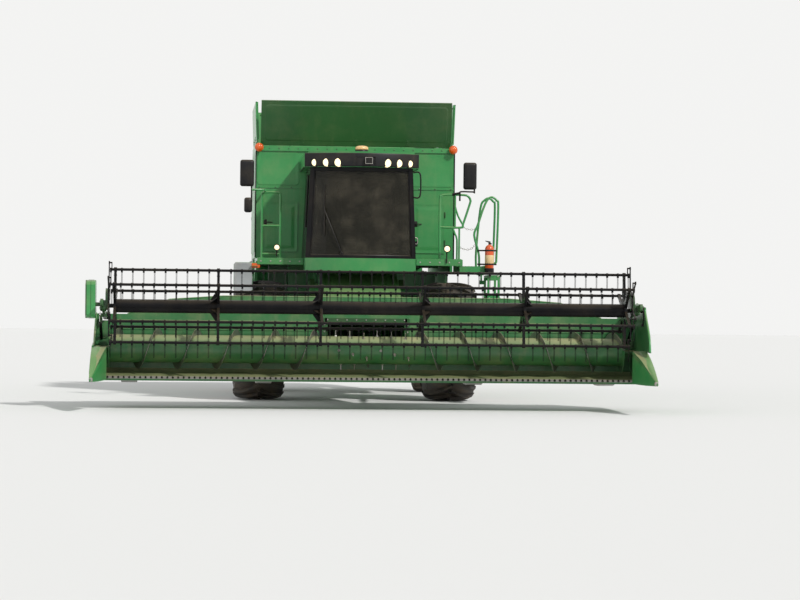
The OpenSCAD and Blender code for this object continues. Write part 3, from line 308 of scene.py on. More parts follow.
mats = dict(
    green=paint("greenPaint", (0.030, 0.215, 0.056), 0.28, 0.24, chips=0.3, shine=0.35),
    # the green paint darkened as painted shade, for parts that stand in shade: the front tank
    # cover, chassis, axle, reel arms, seams and small fittings
    greenShaded=paint("greenPaintShaded", (0.013, 0.074, 0.016), 0.34, 0.14, chips=0.3),
    # the green paint darkened as painted shade and carrying heavier dust, for the header's back
    # sheet, frame and auger
    greenDustAndShade=paint("greenPaintDustAndShade", (0.026, 0.150, 0.042), 0.40, 0.42, chips=0.5),
    black=paint("blackPaint", (0.004, 0.004, 0.005), 0.26, 0.05, chips=0.15, coat=0.0, shine=0.13),
    bare=paint("wornSteel", (0.30, 0.29, 0.27), 0.34, 0.40, metal=0.85, coat=0.0),
    chrome=paint("rodChrome", (0.62, 0.62, 0.62), 0.14, 0.15, metal=1.0, coat=0.0),
    iron=paint("rustedIron", (0.10, 0.07, 0.05), 0.75, 0.35, metal=0.3, coat=0.0),
    yellow=paint("yellowPaint", (0.72, 0.42, 0.012), 0.34, 0.55, chips=0.6),
    plastic=paint("blackPlastic", (0.007, 0.007, 0.008), 0.42, 0.09, coat=0.0, shine=0.2),
    tyre=rubber("tyreRubber"),
    glass=glass("cabGlass", (0.018, 0.017, 0.012), 0.80),
    lampLens=lens("lampLens", (1.0, 0.84, 0.50), 1.0, 60),
    orangeLens=lens("orangeLens", (0.68, 0.105, 0.010), 0.06, 45),
    amberLens=lens("amberLens", (0.80, 0.50, 0.22), 0.05, 45),
    seat=cloth("seatCloth", (0.030, 0.030, 0.034)),
    orange=paint("orangePaint", (0.58, 0.075, 0.012), 0.28, 0.12),
    label=paint("bottleLabel", (0.62, 0.44, 0.22), 0.5, 0.10, coat=0.0),
    grey=paint("greyPlate", (0.30, 0.31, 0.31), 0.5, 0.45, coat=0.0),
    mirror=paint("mirrorSilver", (0.75, 0.77, 0.78), 0.03, 0.10, metal=1.0, coat=0.0),
)
print("materials made:", len(mats))

cadFinish = dict(
    green="separator tank rear_hood deck rails cab_roof screen_housing shield_left"
          " shield_right flap_left flap_right flap_rear ladder feederhouse unload_tube"
          " chopper",
    # the header's frame and auger take the green darkened as painted shade, with heavier dust
    greenDustAndShade="header_frame header_auger auger_flights",
    # the front tank cover, chassis, axle parts and reel arms take the green darkened as painted
    # shade
    greenShaded="chassis rear_axle knuckle_left knuckle_right tie_rod flap_front reel_arms"
              " reel_carriage",
    black="cab_body door reel cam_stars lift_barrels reel_barrels screen bat_1 bat_2 bat_3"
          " bat_4 bat_5 bat_6",
    plastic="mirrors", tyre="tyre_fl tyre_fr tyre_rl tyre_rr",
    yellow="rim_fl rim_fr rim_rl rim_rr", glass="cab_glass door_glass", seat="cab_seat",
    lampLens="lamps", orangeLens="beacons", iron="exhaust engine", bare="cutterbar",
    chrome="lift_rods reel_rods", orange="extinguisher",
)
for finish, names in cadFinish.items():
    for name in names.split():
        piece = nodes[name]
        piece.data.materials.clear()
        piece.data.materials.append(mats[finish])
print("CAD nodes finished")


# shapes: each is (points, faces) as arrays, worked out whole and joined before it is a mesh;
# a face is four point numbers, the last of them -1 on a triangle

# quads of a grid of nu by nv points, rows of nv, wrapped round where it closes
def gridFaces(nu, nv, closeU=False, closeV=False):
    u = np.arange(nu if closeU else nu - 1)[:, None]
    v = np.arange(nv if closeV else nv - 1)[None, :]
    un, vn = (u + 1) % nu, (v + 1) % nv
    return np.stack([u * nv + v, un * nv + v, un * nv + vn, u * nv + vn], -1).reshape(-1, 4)


# the points of a grid as one list, with its quads
def gridShape(points, closeU=False, closeV=False):
    nu, nv = points.shape[:2]
    return points.reshape(-1, 3), gridFaces(nu, nv, closeU, closeV)


# shapes put one after another, each one's point numbers moved on by the points before it
def joinShapes(shapes):
    shapes = list(shapes)
    counts = np.cumsum([0] + [len(s[0]) for s in shapes[:-1]])
    return (np.concatenate([s[0] for s in shapes]),
            np.concatenate([np.where(s[1] < 0, -1, s[1] + c) for s, c in zip(shapes, counts)]))


# quads that close a ring of an even count of points, strips across it from side to side
def capFan(count, start, flip):
    k = np.arange(count // 2 - 1)
    quads = np.stack([k, k + 1, count - 2 - k, count - 1 - k], -1) + start
    return quads[:, ::-1] if flip else quads


# rings of an even count of points, one behind the other, as a skin whose last ring is filled,
# and whose first ring too unless it is left open
def ringSkin(rings, first=True):
    points = np.stack(rings)
    n, last = points.shape[1], (len(points) - 1) * points.shape[1]
    skin, faces = gridShape(points, closeV=True)
    fills = [capFan(n, 0, True)] * first + [capFan(n, last, False)]
    return skin, np.vstack([faces, *fills])


# three arrays of coordinates, one along an axis and two across it, as points
def onAxis(axis, along, one, two):
    order = dict(x=(along, one, two), y=(one, along, two), z=(one, two, along))
    return np.stack(order[axis], -1)


# Catmull-Rom curve through the points, ends repeated, steps points to a span
def smoothPath(points, steps=8):
    p = np.asarray(points, float)
    p = np.vstack([2 * p[0] - p[1], p, 2 * p[-1] - p[-2]])
    t = np.linspace(0, 1, steps, endpoint=False)[None, :, None]
    a, b, c, d = (p[k:len(p) - 3 + k, None, :] for k in range(4))
    curve = 0.5 * (2 * b + (c - a) * t + (2 * a - 5 * b + 4 * c - d) * t**2
                   + (3 * b - a - 3 * c + d) * t**3)
    return np.vstack([curve.reshape(-1, 3), p[-2]])


# A ring of points round each point of the path, across its direction, closed at the ends. The
# ring's first axis is what is left of a fixed direction after the path's own is taken
def tubeShape(path, radius, sides=12):
    path = np.asarray(path, float)
    radius = np.broadcast_to(np.asarray(radius, float), (len(path),))
    along = np.gradient(path, axis=0)
    along /= np.linalg.norm(along, axis=1)[:, None]
    spread = np.abs(along).mean(axis=0)
    fixed = np.eye(3)[np.argmin(spread)]
    first = fixed - along * (along @ fixed)[:, None]
    first /= np.linalg.norm(first, axis=1)[:, None]
    second = np.cross(along, first)
    a = np.linspace(0, 2 * np.pi, sides, endpoint=False)
    ring = (np.cos(a)[None, :, None] * first[:, None] + np.sin(a)[None, :, None] * second[:, None])
    points = path[:, None] + ring * radius[:, None, None]
    body, quads = gridShape(points, closeV=True)
    quads = quads[:, ::-1]
    last = (len(path) - 1) * sides
    return body, np.vstack([quads, capFan(sides, 0, True), capFan(sides, last, False)])


# A profile of (along, radius) pairs turned about an axis through the centre
def turnedShape(profile, centre, axis="x", steps=48):
    profile = np.asarray(profile, float)
    a = np.linspace(0, 2 * np.pi, steps, endpoint=False)[:, None]
    along = np.broadcast_to(profile[None, :, 0], (steps, len(profile)))
    one, two = profile[None, :, 1] * np.cos(a), profile[None, :, 1] * np.sin(a)
    order = {"x": (along, one, two), "y": (two, along, one), "z": (one, two, along)}[axis]
    points = np.stack(order, -1) + np.asarray(centre, float)
    return gridShape(points, closeU=True)


# a plain round bar from low to high along an axis through the centre
def rod(low, high, radius, centre, axis="x", steps=16):
    return turnedShape([(low, 0), (low, radius), (high, radius), (high, 0)], centre, axis, steps)


# straight slabs from a list of (outline, low, high, across): each outline of pairs is carried
# from low to high along one axis, and its ends are filled by Blender's own polygon filler
def plates(outlines):
    shapes = []
    for outline, low, high, across in outlines:
        first, second = np.asarray(outline, float).T
        n = len(outline)
        rings = [onAxis(across, np.full(n, float(place)), first, second) for place in (low, high)]
        k = np.arange(n)
        walls = np.stack([k, (k + 1) % n, (k + 1) % n + n, k + n], -1)
        triangles = np.array(tessellate_polygon([[Vector((a, b, 0)) for a, b in outline]]))
        none = np.full((len(triangles), 1), -1)
        faces = np.vstack([walls, np.hstack([triangles[:, ::-1], none]),
                           np.hstack([triangles + n, none])])
        shapes.append((np.vstack(rings), faces))
    return joinShapes(shapes)


# one box as a slab, its edges given along each axis
def block(x, y, z):
    return ([(y[0], z[0]), (y[1], z[0]), (y[1], z[1]), (y[0], z[1])], x[0], x[1], "x")


# joins shapes drawn from the front axle into one piece of one finish: the mesh is moved into
# the frame, welded, its faces turned outwards, and it rides on its body
def build(name, shapes, finish, body="chassis", replaces=(), bevel=0.0, smooth=38):
    points, faces = joinShapes(shapes)
    inUse = faces >= 0
    corners = faces[inUse].astype(np.int32)
    starts = np.concatenate([[0], np.cumsum(inUse.sum(axis=1))[:-1]]).astype(np.int32)
    mesh = bpy.data.meshes.new(name)
    mesh.vertices.add(len(points))
    mesh.vertices.foreach_set("co", np.asarray(points + middle, np.float32).ravel())
    mesh.loops.add(len(corners))
    mesh.loops.foreach_set("vertex_index", corners)
    mesh.polygons.add(len(faces))
    mesh.polygons.foreach_set("loop_start", starts)
    mesh.update(calc_edges=True)
    work = bmesh.new()
    work.from_mesh(mesh)
    bmesh.ops.remove_doubles(work, verts=work.verts, dist=1e-6)
    bmesh.ops.dissolve_degenerate(work, dist=1e-6, edges=work.edges)
    bmesh.ops.recalc_face_normals(work, faces=work.faces)
    work.to_mesh(mesh)
    work.free()
    mesh.materials.append(mats[finish])
    mesh.shade_smooth()
    mesh.set_sharp_from_angle(angle=math.radians(smooth))
    piece = bpy.data.objects.new(name, mesh)
    bpy.context.collection.objects.link(piece)
    if bevel:
        edge = piece.modifiers.new("edges", "BEVEL")
        edge.width = bevel
        edge.segments = 2
        edge.limit_method = "ANGLE"
        edge.angle_limit = math.radians(30)
    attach(piece, body)
    if replaces:
        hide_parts(*replaces)
    return piece


# the same shape at many places, as one
def copies(shape, places):
    points, faces = shape
    places = np.asarray(places, float)
    offsets = np.arange(len(places))[:, None, None] * len(points)
    moved = points[None] + places[:, None]
    return moved.reshape(-1, 3), np.where(faces[None] < 0, -1, faces[None] + offsets).reshape(-1, 4)


# hexagon heads on a face, standing out along sign times the axis
def bolts(places, axis, sign=1, size=0.010):
    rise = sign * size * 0.75
    profile = [(-sign * 0.001, size * 1.35), (sign * 0.0015, size * 1.35), (sign * 0.0015, size),
               (rise, size), (rise * 1.25, size * 0.65), (rise * 1.25, 0)]
    return copies(turnedShape(profile, (0, 0, 0), axis, 6), places)


# corners of a rectangle in the plane as quarter circles, anticlockwise
def roundRect(low, high, radius):
    a = np.linspace(0, np.pi / 2, 5)
    corners = ((high[0], high[1], 0), (low[0], high[1], 1), (low[0], low[1], 2),
               (high[0], low[1], 3))
    ring = []
    for x, y, turn in corners:
        inwards = np.array([radius if turn in (1, 2) else -radius,
                            radius if turn in (2, 3) else -radius])
        t = a + turn * np.pi / 2
        ring.append(np.array([x, y]) + inwards + radius * np.stack([np.cos(t), np.sin(t)], 1))
    return np.vstack(ring)


# A pressing on a flat face: rings of a rounded rectangle, each given by how far it is set in and
# how far it stands out along sign times the axis
def pressed(low, high, place, axis, sign, steps, radius=0.03):
    low, high = np.asarray(low, float), np.asarray(high, float)
    rings = []
    for inset, rise in steps:
        ring = roundRect(low + inset, high - inset, max(radius - inset * 0.5, 0.004))
        rings.append(onAxis(axis, np.full(len(ring), place + sign * rise), *ring.T))
    return ringSkin(rings, first=False)


# bent tubes through lists of points, their corners rounded by the smooth path
def pipes(paths, radius, sides=12, steps=5):
    return joinShapes([tubeShape(smoothPath(path, steps), radius, sides) for path in paths])


# shapes and their mirror images across the centre plane
def both(*shapes):
    points, faces = joinShapes(shapes)
    other = np.where(faces[:, 3:] < 0, faces[:, [2, 1, 0, 3]], faces[:, ::-1])
    return joinShapes([(points, faces), (points * (-1, 1, 1), other)])


# places on a circle about (y, z) in the plane at x, at angles in degrees
def aroundX(x, y, z, radius, degrees):
    return [(x, y + radius * math.cos(a), z + radius * math.sin(a)) for a in np.radians(degrees)]


# chain links along a path: short flat rings, every second one turned upright
def chainLinks(path, pitch, size):
    path = np.asarray(path, float)
    run = np.concatenate([[0], np.cumsum(np.linalg.norm(np.diff(path, axis=0), axis=1))])
    count = int(run[-1] / pitch)
    at = np.linspace(0, run[-1], count + 1)
    places = np.stack([np.interp(at, run, path[:, k]) for k in range(3)], -1)
    links = []
    for k in range(count):
        a, b = places[k], places[k + 1]
        along = (b - a) / np.linalg.norm(b - a)
        side = np.cross(along, (0, 0, 1))
        side /= np.linalg.norm(side)
        wide = side if k % 2 else np.cross(along, side)
        t = np.linspace(0, 2 * np.pi, 10, endpoint=False)[:, None]
        ring = ((a + b) / 2 + along * np.cos(t) * pitch * 0.68 + wide * np.sin(t) * size * 1.9)
        ring = np.vstack([ring, ring[:1]])
        links.append(tubeShape(ring, size * 0.42, 5))
    return joinShapes(links)


# points turned by an angle in the plane of two axes about a pivot in that plane
def tilted(points, first, second, angle, pivot):
    points = np.array(points, float)
    c, s = math.cos(math.radians(angle)), math.sin(math.radians(angle))
    a, b = points[:, first].copy(), points[:, second].copy()
    points[:, first] = pivot[0] + a * c - b * s
    points[:, second] = pivot[1] + a * s + b * c
    return points


# reel: its measures, and the bats with their spring tines
reelLook = dict(
    axis=(-4.0, 1.45), batRadius=0.51, firstBat=84.5, batHalf=3.65,
    barRadius=0.019, tinePitch=0.1524, tineLength=0.218, tineWire=0.0032,
    clipWidth=0.027, clipHeight=0.042, spiderHalf=3.594, spiderCount=6,
    crank=0.012, pin=0.0105, starRise=0.095, starX=(3.6725, 3.6895),
)


# y and z of a bat's bar: on the circle of the bats, a sixth of a turn from the one before
def batPlace(k):
    turn = math.radians(reelLook["firstBat"] + 60 * k)
    r = reelLook["batRadius"]
    return reelLook["axis"][0] + r * math.cos(turn), reelLook["axis"][1] + r * math.sin(turn)


# tines at all the places x: the wire leaves the clip, makes a half loop forwards and hangs down
# with a slight hook, the same path moved along the bat
def tineSet(x, y, z):
    wire, length = reelLook["tineWire"], reelLook["tineLength"]
    path = smoothPath([(0, 0.010, -0.012), (0, 0.020, -0.030), (0, 0.006, -0.050),
                       (0, 0.000, -0.090), (0, 0.001, -0.150), (0, 0.008, -length)], 3)
    pair = copies(tubeShape(path, wire, 5), [(-0.006, 0, 0), (0.006, 0, 0)])
    return copies(pair, [(place, y, z) for place in x])


# clamp blocks round the bar, a D-shaped outline carried across each clip's width
def clipSet(x, y, z):
    a = np.linspace(-0.25 * np.pi, 1.25 * np.pi, 9)
    r = reelLook["barRadius"] + 0.006
    outline = [(y + r * math.cos(t), z + r * math.sin(t)) for t in a]
    outline += [(y - 0.012, z - reelLook["clipHeight"]), (y + 0.012, z - reelLook["clipHeight"])]
    half = reelLook["clipWidth"] / 2
    return plates([(outline, place - half, place + half, "x") for place in x])


# each bat is a bar with clamps, tines and at both ends a crank that carries the star's pin
def makeBats():
    look = reelLook
    places = np.arange(-24, 25) * look["tinePitch"]
    spiders = np.linspace(-look["spiderHalf"], look["spiderHalf"], look["spiderCount"])
    places = places[np.abs(places[:, None] - spiders[None]).min(axis=1) > 0.034]
    half, crank, pin, rise = (look[key] for key in ("batHalf", "crank", "pin", "starRise"))
    cranks = ((half - crank, half), (-half, crank - half))
    for k in range(6):
        y, z = batPlace(k)
        arms = [block(x, (y - 0.016, y + 0.016), (z - 0.005, z + rise)) for x in cranks]
        pins = [rod(0, 0.052, pin, (x, y, z + rise)) for x in (half - crank, -half - 0.040)]
        bar = tubeShape([(-half, y, z), (half, y, z)], look["barRadius"], 20)
        build(f"batLook{k + 1}", [bar, clipSet(places, y, z), tineSet(places, y, z), plates(arms),
                                  *pins], "black", f"bat_{k + 1}", [f"bat_{k + 1}"])
    print("bats made")


makeBats()


# tyres with slanted bars and rims with a dished disc
tyreLook = dict(barHeight=0.046, barWidth=0.058, slant=47)
wheels = dict(
    # middle x, axle y, radius, width, rim radius, bars on one side, disc x, hub radius, bolts
    f=(1.485, 0.0, 0.925, 0.80, 0.410, 19, 1.235, 0.115, 12),   # front, then rear
    r=(1.450, 3.6, 0.640, 0.44, 0.310, 17, 1.380, 0.093, 8),
)


# radius of the tyre's skin at a distance across it: a crowned tread that falls away by the fourth
# power towards the shoulder
def carcassRadius(across, radius, half):
    deep = radius - tyreLook["barHeight"]
    return deep - 0.055 * np.abs(across / half)**4


# tread by the crown formula, then each side wall bulging on a sine out to the width and back in
# to the bead, turned about the axle
def tyreSkin(radius, width, rimRadius, centre):
    half = width / 2
    across = np.linspace(-0.93, 0.93, 25) * half
    tread = np.stack([across, carcassRadius(across, radius, half)], 1)
    t = np.linspace(0.06, 1, 14)
    start = tread[-1, 1]
    wallRadius = start + (rimRadius + 0.004 - start) * t
    wallAcross = half * (0.93 + 0.07 * np.sin(np.pi * np.minimum(t * 1.15, 1))) - 0.055 * t**3
    ribs = 0.004 * (np.sin(t * 46) > 0.55)
    wall = np.stack([wallAcross + ribs - 0.006, wallRadius], 1)
    bead = np.array([[half - 0.062, rimRadius - 0.0003], [half - 0.10, rimRadius - 0.0003]])
    right = np.vstack([wall, bead])
    left = right[::-1] * (-1, 1)
    profile = np.vstack([left, tread, right])
    return turnedShape(profile, centre, "x", 96)


# bars on both sides, half a pitch apart. Along a bar s runs from just past the middle to the
# shoulder; its turn about the axle grows with s by the slant, and its section is a trapezoid from
# under the skin to the tyre's full radius, lower at the shoulder
def tyreBars(radius, width, count, centre):
    half = width / 2
    s = np.linspace(-0.06, 0.985, 12)
    skin = carcassRadius(s * half, radius, half)
    top = np.minimum(radius, skin + tyreLook["barHeight"] * (1 - 0.25 * np.clip(s, 0, 1)**6))
    top[-1] = skin[-1] + 0.006
    width0 = tyreLook["barWidth"] * (0.85 + 0.35 * np.clip(s, 0, 1)**2)
    lean = np.tan(np.radians(tyreLook["slant"]))
    turn = np.abs(s) * half * lean / radius * (1 - 0.22 * s)
    ring = []
    for place, wide in ((skin - 0.012, 0.62), (top, 0.42), (top, -0.42), (skin - 0.012, -0.62)):
        ring.append(np.stack([s * half, place, turn + wide * width0 / radius], -1))
    one = np.stack(ring, 1)
    sets = []
    for side in (1, -1):
        starts = (np.arange(count) + (0.5 if side > 0 else 0)) * 2 * np.pi / count
        whole = np.broadcast_to(one, (count, *one.shape)).copy()
        whole[..., 2] += starts[:, None, None]
        whole[..., 0] *= side
        a = whole[..., 2]
        points = np.stack([whole[..., 0], whole[..., 1] * np.cos(a), whole[..., 1] * np.sin(a)],
                          -1) + np.asarray(centre)
        faces = gridFaces(len(s), 4, closeV=True)
        ends = np.array([[0, 1, 2, 3], [4 * len(s) - 1, 4 * len(s) - 2, 4 * len(s) - 3,
                                        4 * len(s) - 4]])
        faces = np.vstack([faces, ends])
        offsets = np.arange(count)[:, None, None] * one.shape[0] * 4
        sets.append((points.reshape(-1, 3), (faces[None] + offsets).reshape(-1, 4)))
    return joinShapes(sets)


# hexagon heads in a ring, each a six-sided profile turned about its own axis
def boltRing(centre, side, ringRadius, count, size, depth):
    profile = [(0, 0), (0, size), (side * depth, size), (side * depth * 1.25, size * 0.7),
               (side * depth * 1.25, 0)]
    places = aroundX(*centre, ringRadius, np.linspace(0, 360, count, endpoint=False))
    return copies(turnedShape(profile, (0, 0, 0), "x", 6), places)


# barrel with a drop centre and rolled flanges, then the dished disc that runs from the barrel's
# well to the hub, both one turned profile; the other face follows 12 mm behind
def rimShape(side, width, rimRadius, discX, hubRadius, centre):
    h = width / 2 - 0.045
    r = rimRadius - 0.0004
    barrel = [(-h, r), (-h, r - 0.04), (-h + 0.012, r - 0.046), (-h + 0.06, r - 0.05),
              (-h + 0.09, r - 0.095), (h - 0.09, r - 0.095), (h - 0.06, r - 0.05),
              (h - 0.012, r - 0.046), (h, r - 0.04), (h, r), (h - 0.012, r - 0.004),
              (-h + 0.012, r - 0.004), (-h, r)]
    shapes = [turnedShape(barrel, centre, "x", 72)]
    t = np.linspace(0, 1, 12)
    reach = r - 0.094
    radii = reach + (hubRadius - reach) * t
    dish = side * 0.030 * np.sin(np.pi * t)**2
    front = np.stack([dish + side * 0.008, radii], 1)
    back = np.stack([dish - side * 0.008, radii], 1)[::-1]
    profile = np.vstack([front, back, front[:1]])
    shapes.append(turnedShape(profile, (discX, *centre[1:]), "x", 72))
    hub = [(side * out, hubRadius - inset) for out, inset in
           ((-0.030, 0.055), (-0.030, 0), (0.050, 0), (0.062, 0.012), (0.075, 0.050),
            (0.078, hubRadius))]
    shapes.append(turnedShape(hub, (discX, *centre[1:]), "x", 48))
    return joinShapes(shapes)


# each wheel's tyre and rim ride on one body
def makeWheels():
    for end, (x, y, radius, width, rimRadius, bars, discX, hub, count) in wheels.items():
        for hand, side in (("l", 1), ("r", -1)):
            key, centre = end + hand, (side * x, y, radius)
            build(f"tyre-{key}", [tyreSkin(radius, width, rimRadius, centre),
                                  tyreBars(radius, width, bars, centre)],
                  "tyre", f"wheel_{key}", [f"tyre_{key}"], smooth=32)
            face = (side * (discX + 0.008), y, radius)
            build(f"rim-{key}", [rimShape(side, width, rimRadius, side * discX, hub, centre),
                                 boltRing(face, side, hub + 0.035, count, 0.014, 0.016)],
                  "yellow", f"wheel_{key}", [f"rim_{key}"], smooth=32)
    print("wheels made")


makeWheels()


# cab front: black visor band, lamps and beacons
visorLook = dict(centreY=-0.300, radius=1.512, half=0.860, low=3.558, high=3.762)
lampLook = dict(
    roofPlaces=((0.360, 0.072), (0.535, 0.068), (0.708, 0.060)), roofZ=3.617, roofArc=1.5,
    railPlaces=((-1.250, -1.000, 2.350, 0.045), (1.300, -1.520, 2.347, 0.050)),
    stayFoot=(2.212, 2.135), depth=0.060,
)


# A band on an upright cylinder: across x its y is the circle's front, and its section in height
# is given by (z, outward) pairs that close on themselves
def arcBand(centreY, radius, halfWidth, heights):
    x = np.linspace(-halfWidth, halfWidth, 60)[:, None]
    z, out = np.transpose(heights)
    y = centreY - np.sqrt((radius + out)**2 - x**2)
    return ringSkin(np.stack([np.broadcast_to(x, y.shape), y, np.broadcast_to(z, y.shape)], -1))


# the black band over the screen, a section with rounded edges on the roof's arc
def makeVisor():
    v = visorLook
    heights = [(v["low"], -0.050), (v["low"], -0.006), (v["low"] + 0.010, 0.004),
               (v["high"] - 0.020, 0.010), (v["high"] - 0.004, 0.004), (v["high"], -0.010),
               (v["high"], -0.050), (v["low"] + 0.05, -0.052)]
    build("visorBand", [arcBand(v["centreY"], v["radius"], v["half"], heights)], "plastic")


# A round lamp facing -Y: a bowl-shaped housing, a rim and a slightly domed lens
def lampParts(x, y, z, r):
    d = lampLook["depth"]
    housing = [(0.0, 0.0), (0.0, r * 0.55), (-0.4 * d, r * 0.92), (-d * 0.9, r + 0.006),
               (-d - 0.006, r + 0.006), (-d - 0.006, r - 0.006), (-d + 0.006, r - 0.008)]
    t = np.linspace(0, 1, 7)
    bulge = [(-d + 0.004 - 0.010 * (1 - s * s), (r - 0.007) * s) for s in t]
    return turnedShape(housing, (x, y, z), "y", 32), turnedShape(bulge, (x, y, z), "y", 32)


# six lamps on the roof's arc, two on stays that stand on the deck's edge
def makeLamps():
    places = []
    for side in (-1, 1):
        for x, r in lampLook["roofPlaces"]:
            y = visorLook["centreY"] - math.sqrt(lampLook["roofArc"]**2 - x * x) + 0.040
            places.append((side * x, y, lampLook["roofZ"], r))
    rail = list(lampLook["railPlaces"])
    pairs = [lampParts(*p) for p in places + rail]
    stems = plates([block((x - 0.008, x + 0.008), (y - 0.004, y + 0.030), (foot, z - 0.02))
                    for (x, y, z, _), foot in zip(rail, lampLook["stayFoot"])])
    build("lampLenses", [p[1] for p in pairs], "lampLens", replaces=["lamps"])
    build("lampShells", [p[0] for p in pairs] + [stems], "plastic")


# the roof beacon is a ribbed dome on a black foot, the corner lamps are domes on arms
def makeBeacons():
    a = np.linspace(0, np.pi / 2, 10)
    dome = [(0.040, 0.088), (0.046, 0.100)]
    dome += [(0.060 + 0.043 * math.sin(t), 0.100 * math.cos(t)**0.6 + 1e-4) for t in a]
    roof = (0, -1.480, 3.785)
    build("roofBeacon", [turnedShape(dome, roof, "z", 40)], "amberLens")
    shapes = []
    feet = [turnedShape([(0, 0), (0, 0.100), (0.010, 0.104), (0.036, 0.094), (0.044, 0)],
                        roof, "z", 40)]
    for x in (-1.510, 1.525):
        front = [(0.0, 0.0), (0.0, 0.060), (-0.016, 0.068)]
        front += [(-0.016 - 0.050 * math.sin(t), 0.066 * math.cos(t) + 1e-4) for t in a]
        shapes.append(turnedShape(front, (x, -0.074, 3.925), "y", 32))
        feet.append(turnedShape([(0.004, 0), (0.004, 0.05), (-0.012, 0.064), (-0.018, 0.060)],
                                (x, -0.070, 3.925), "y", 32))
        feet.append(plates([block((x - 0.018, x + 0.018), (-0.080, -0.028), (3.888, 3.925))]))
    build("orangeDomes", shapes, "orangeLens", replaces=["beacons"])
    build("beaconFeet", feet, "plastic")
    marker = [block((-1.628, -1.502), (-0.990, -0.944), (2.034, 2.108))]
    build("sideMarker", [plates(marker)], "orangeLens", bevel=0.008)


makeVisor()
makeLamps()
makeBeacons()
print("cab front made")


# rails, mirrors, ladder, deck and front wall
railLook = dict(
    radius=0.017, deckZ=2.190, leftY=-1.450, rearY=-1.010, chain=0.0065,
    bend=((1.194, 2.190), (1.194, 3.060), (1.215, 3.140), (1.270, 3.166), (1.560, 3.166),
          (1.632, 3.136), (1.655, 3.091), (1.650, 3.040), (1.549, 2.728), (1.520, 2.675),
          (1.194, 2.675)),
    posts=(((1.426, 3.162), (1.426, 2.679)), ((1.391, 2.671), (1.430, 2.570), (1.458, 2.486),
           (1.458, 2.190)), ((1.492, 2.671), (1.492, 2.190)),
           ((1.428, 2.984), (1.470, 2.850), (1.543, 2.720))),
    frontFoot=((1.800, 2.090), (1.790, 2.290), (1.720, 2.560), (1.771, 2.710)),
    rearFoot=((1.800, 2.090), (1.800, 2.335)),
    loop=((1.859, 2.980), (1.925, 3.110), (1.992, 3.138), (2.055, 3.090), (2.082, 3.000),
          (2.062, 2.266), (2.040, 2.140), (1.880, 2.078)),
    chains=(((1.540, 2.690), (1.600, 2.655), (1.665, 2.644), (1.725, 2.652), (1.758, 2.668)),
            ((1.492, 2.380), (1.560, 2.350), (1.620, 2.341), (1.690, 2.365), (1.750, 2.440))),
)
mirrorLook = dict(heads=((-1.720, 3.455, 0.210, 0.400), (-1.700, 2.975, 0.120, 0.225),
                         (1.650, 3.455, 0.200, 0.410)), front=-1.470, back=-1.400)


# bent tubes of the two rails and the ladder's arched loops, their feet, chains and mirror arms
def makeRails():
    z0, r = railLook["deckZ"], railLook["radius"]
    bent = [
        [(-1.480, -0.950, z0), (-1.480, -0.950, 2.9), (-1.480, -0.950, 3.140),
         (-1.440, -0.950, 3.185), (-1.240, -0.950, 3.185), (-1.200, -0.950, 3.140),
         (-1.200, -0.950, 2.9), (-1.200, -0.950, z0)],
        [(-1.480, -0.950, 2.250), (-1.200, -0.950, 2.250)],
        [(-1.480, -0.950, 2.680), (-1.200, -0.950, 2.680)],
        [(-1.440, -0.040, 3.210), (-1.440, -1.300, 3.210), (-1.460, -1.350, 3.210),
         (-1.650, -1.400, 3.210)],
    ]
    left = railLook["leftY"]
    bent.append([(x, left, z) for x, z in railLook["bend"]])
    bent.append([(x, left, z) for x, z in railLook["frontFoot"] + railLook["loop"]])
    bent.append([(x, railLook["rearY"], z) for x, z in railLook["rearFoot"] + railLook["loop"]])
    posts = [[(x, left, z) for x, z in post] for post in railLook["posts"]]
    arms = [[(-1.650, -1.400, 2.960), (-1.650, -1.400, 3.600)],
            [(1.400, left, 3.180), (1.480, left, 3.186), (1.512, left, 3.217),
             (1.700, -1.420, 3.217), (1.722, -1.392, 3.230), (1.722, -1.392, 3.560)]]
    feet = [(-1.480, -0.950, z0), (-1.200, -0.950, z0), (1.194, left, z0), (1.458, left, z0),
            (1.492, left, z0)]
    rings = copies(turnedShape([(0, 0), (0, 0.038), (0.006, 0.038), (0.008, 0.018)],
                               (0, 0, 0), "z", 24), feet)
    shapes = [pipes(bent, r, 14, 4), pipes(posts, r - 0.0025, 12, 2), rings]
    chains = [chainLinks(smoothPath([(x, left, z) for x, z in path], 9), 0.030, railLook["chain"])
              for path in railLook["chains"]]
    clamps = [tubeShape([(1.380, left, 3.170), (1.500, left, 3.190)], 0.0225, 12),
              plates([block((1.484, 1.506), (left - 0.020, left + 0.020), (3.075, 3.200))])]
    build("mirrorArms", [pipes(arms, 0.012, 12, 3), *clamps], "black")
    build("railTubes", shapes, "green", replaces=["rails"])
    build("railChains", chains, "bare")


# a deep rounded case with a silvered pane let into its back and a clamp in front
def makeMirrors():
    cases, panes = [], []
    front, back = mirrorLook["front"], mirrorLook["back"]
    for x, z, w, h in mirrorLook["heads"]:
        low, high = (x - w / 2, z - h / 2), (x + w / 2, z + h / 2)
        cases.append(pressed(low, high, back - 0.004, "y", -1,
                             ((0.0, 0.0), (0.0, 0.030), (0.008, 0.048), (0.026, 0.060),
                              (0.045, 0.064)), 0.035))
        cases.append(pressed(low, high, back - 0.004, "y", 1,
                             ((0.0, 0.0), (0.004, 0.004), (0.014, 0.004), (0.016, 0.0)), 0.035))
        cases.append(plates([block((x - 0.016, x + 0.016), (front + 0.008, front + 0.030),
                                   (z - 0.05, z + 0.05))]))
        panes.append(pressed((low[0] + 0.016, low[1] + 0.016), (high[0] - 0.016, high[1] - 0.016),
                             back - 0.004, "y", 1, ((0.0, -0.003), (0.0, 0.001), (0.003, 0.002)),
                             0.028))
    build("mirrorCases", cases, "plastic", replaces=["mirrors"])
    build("mirrorPanes", panes, "mirror")


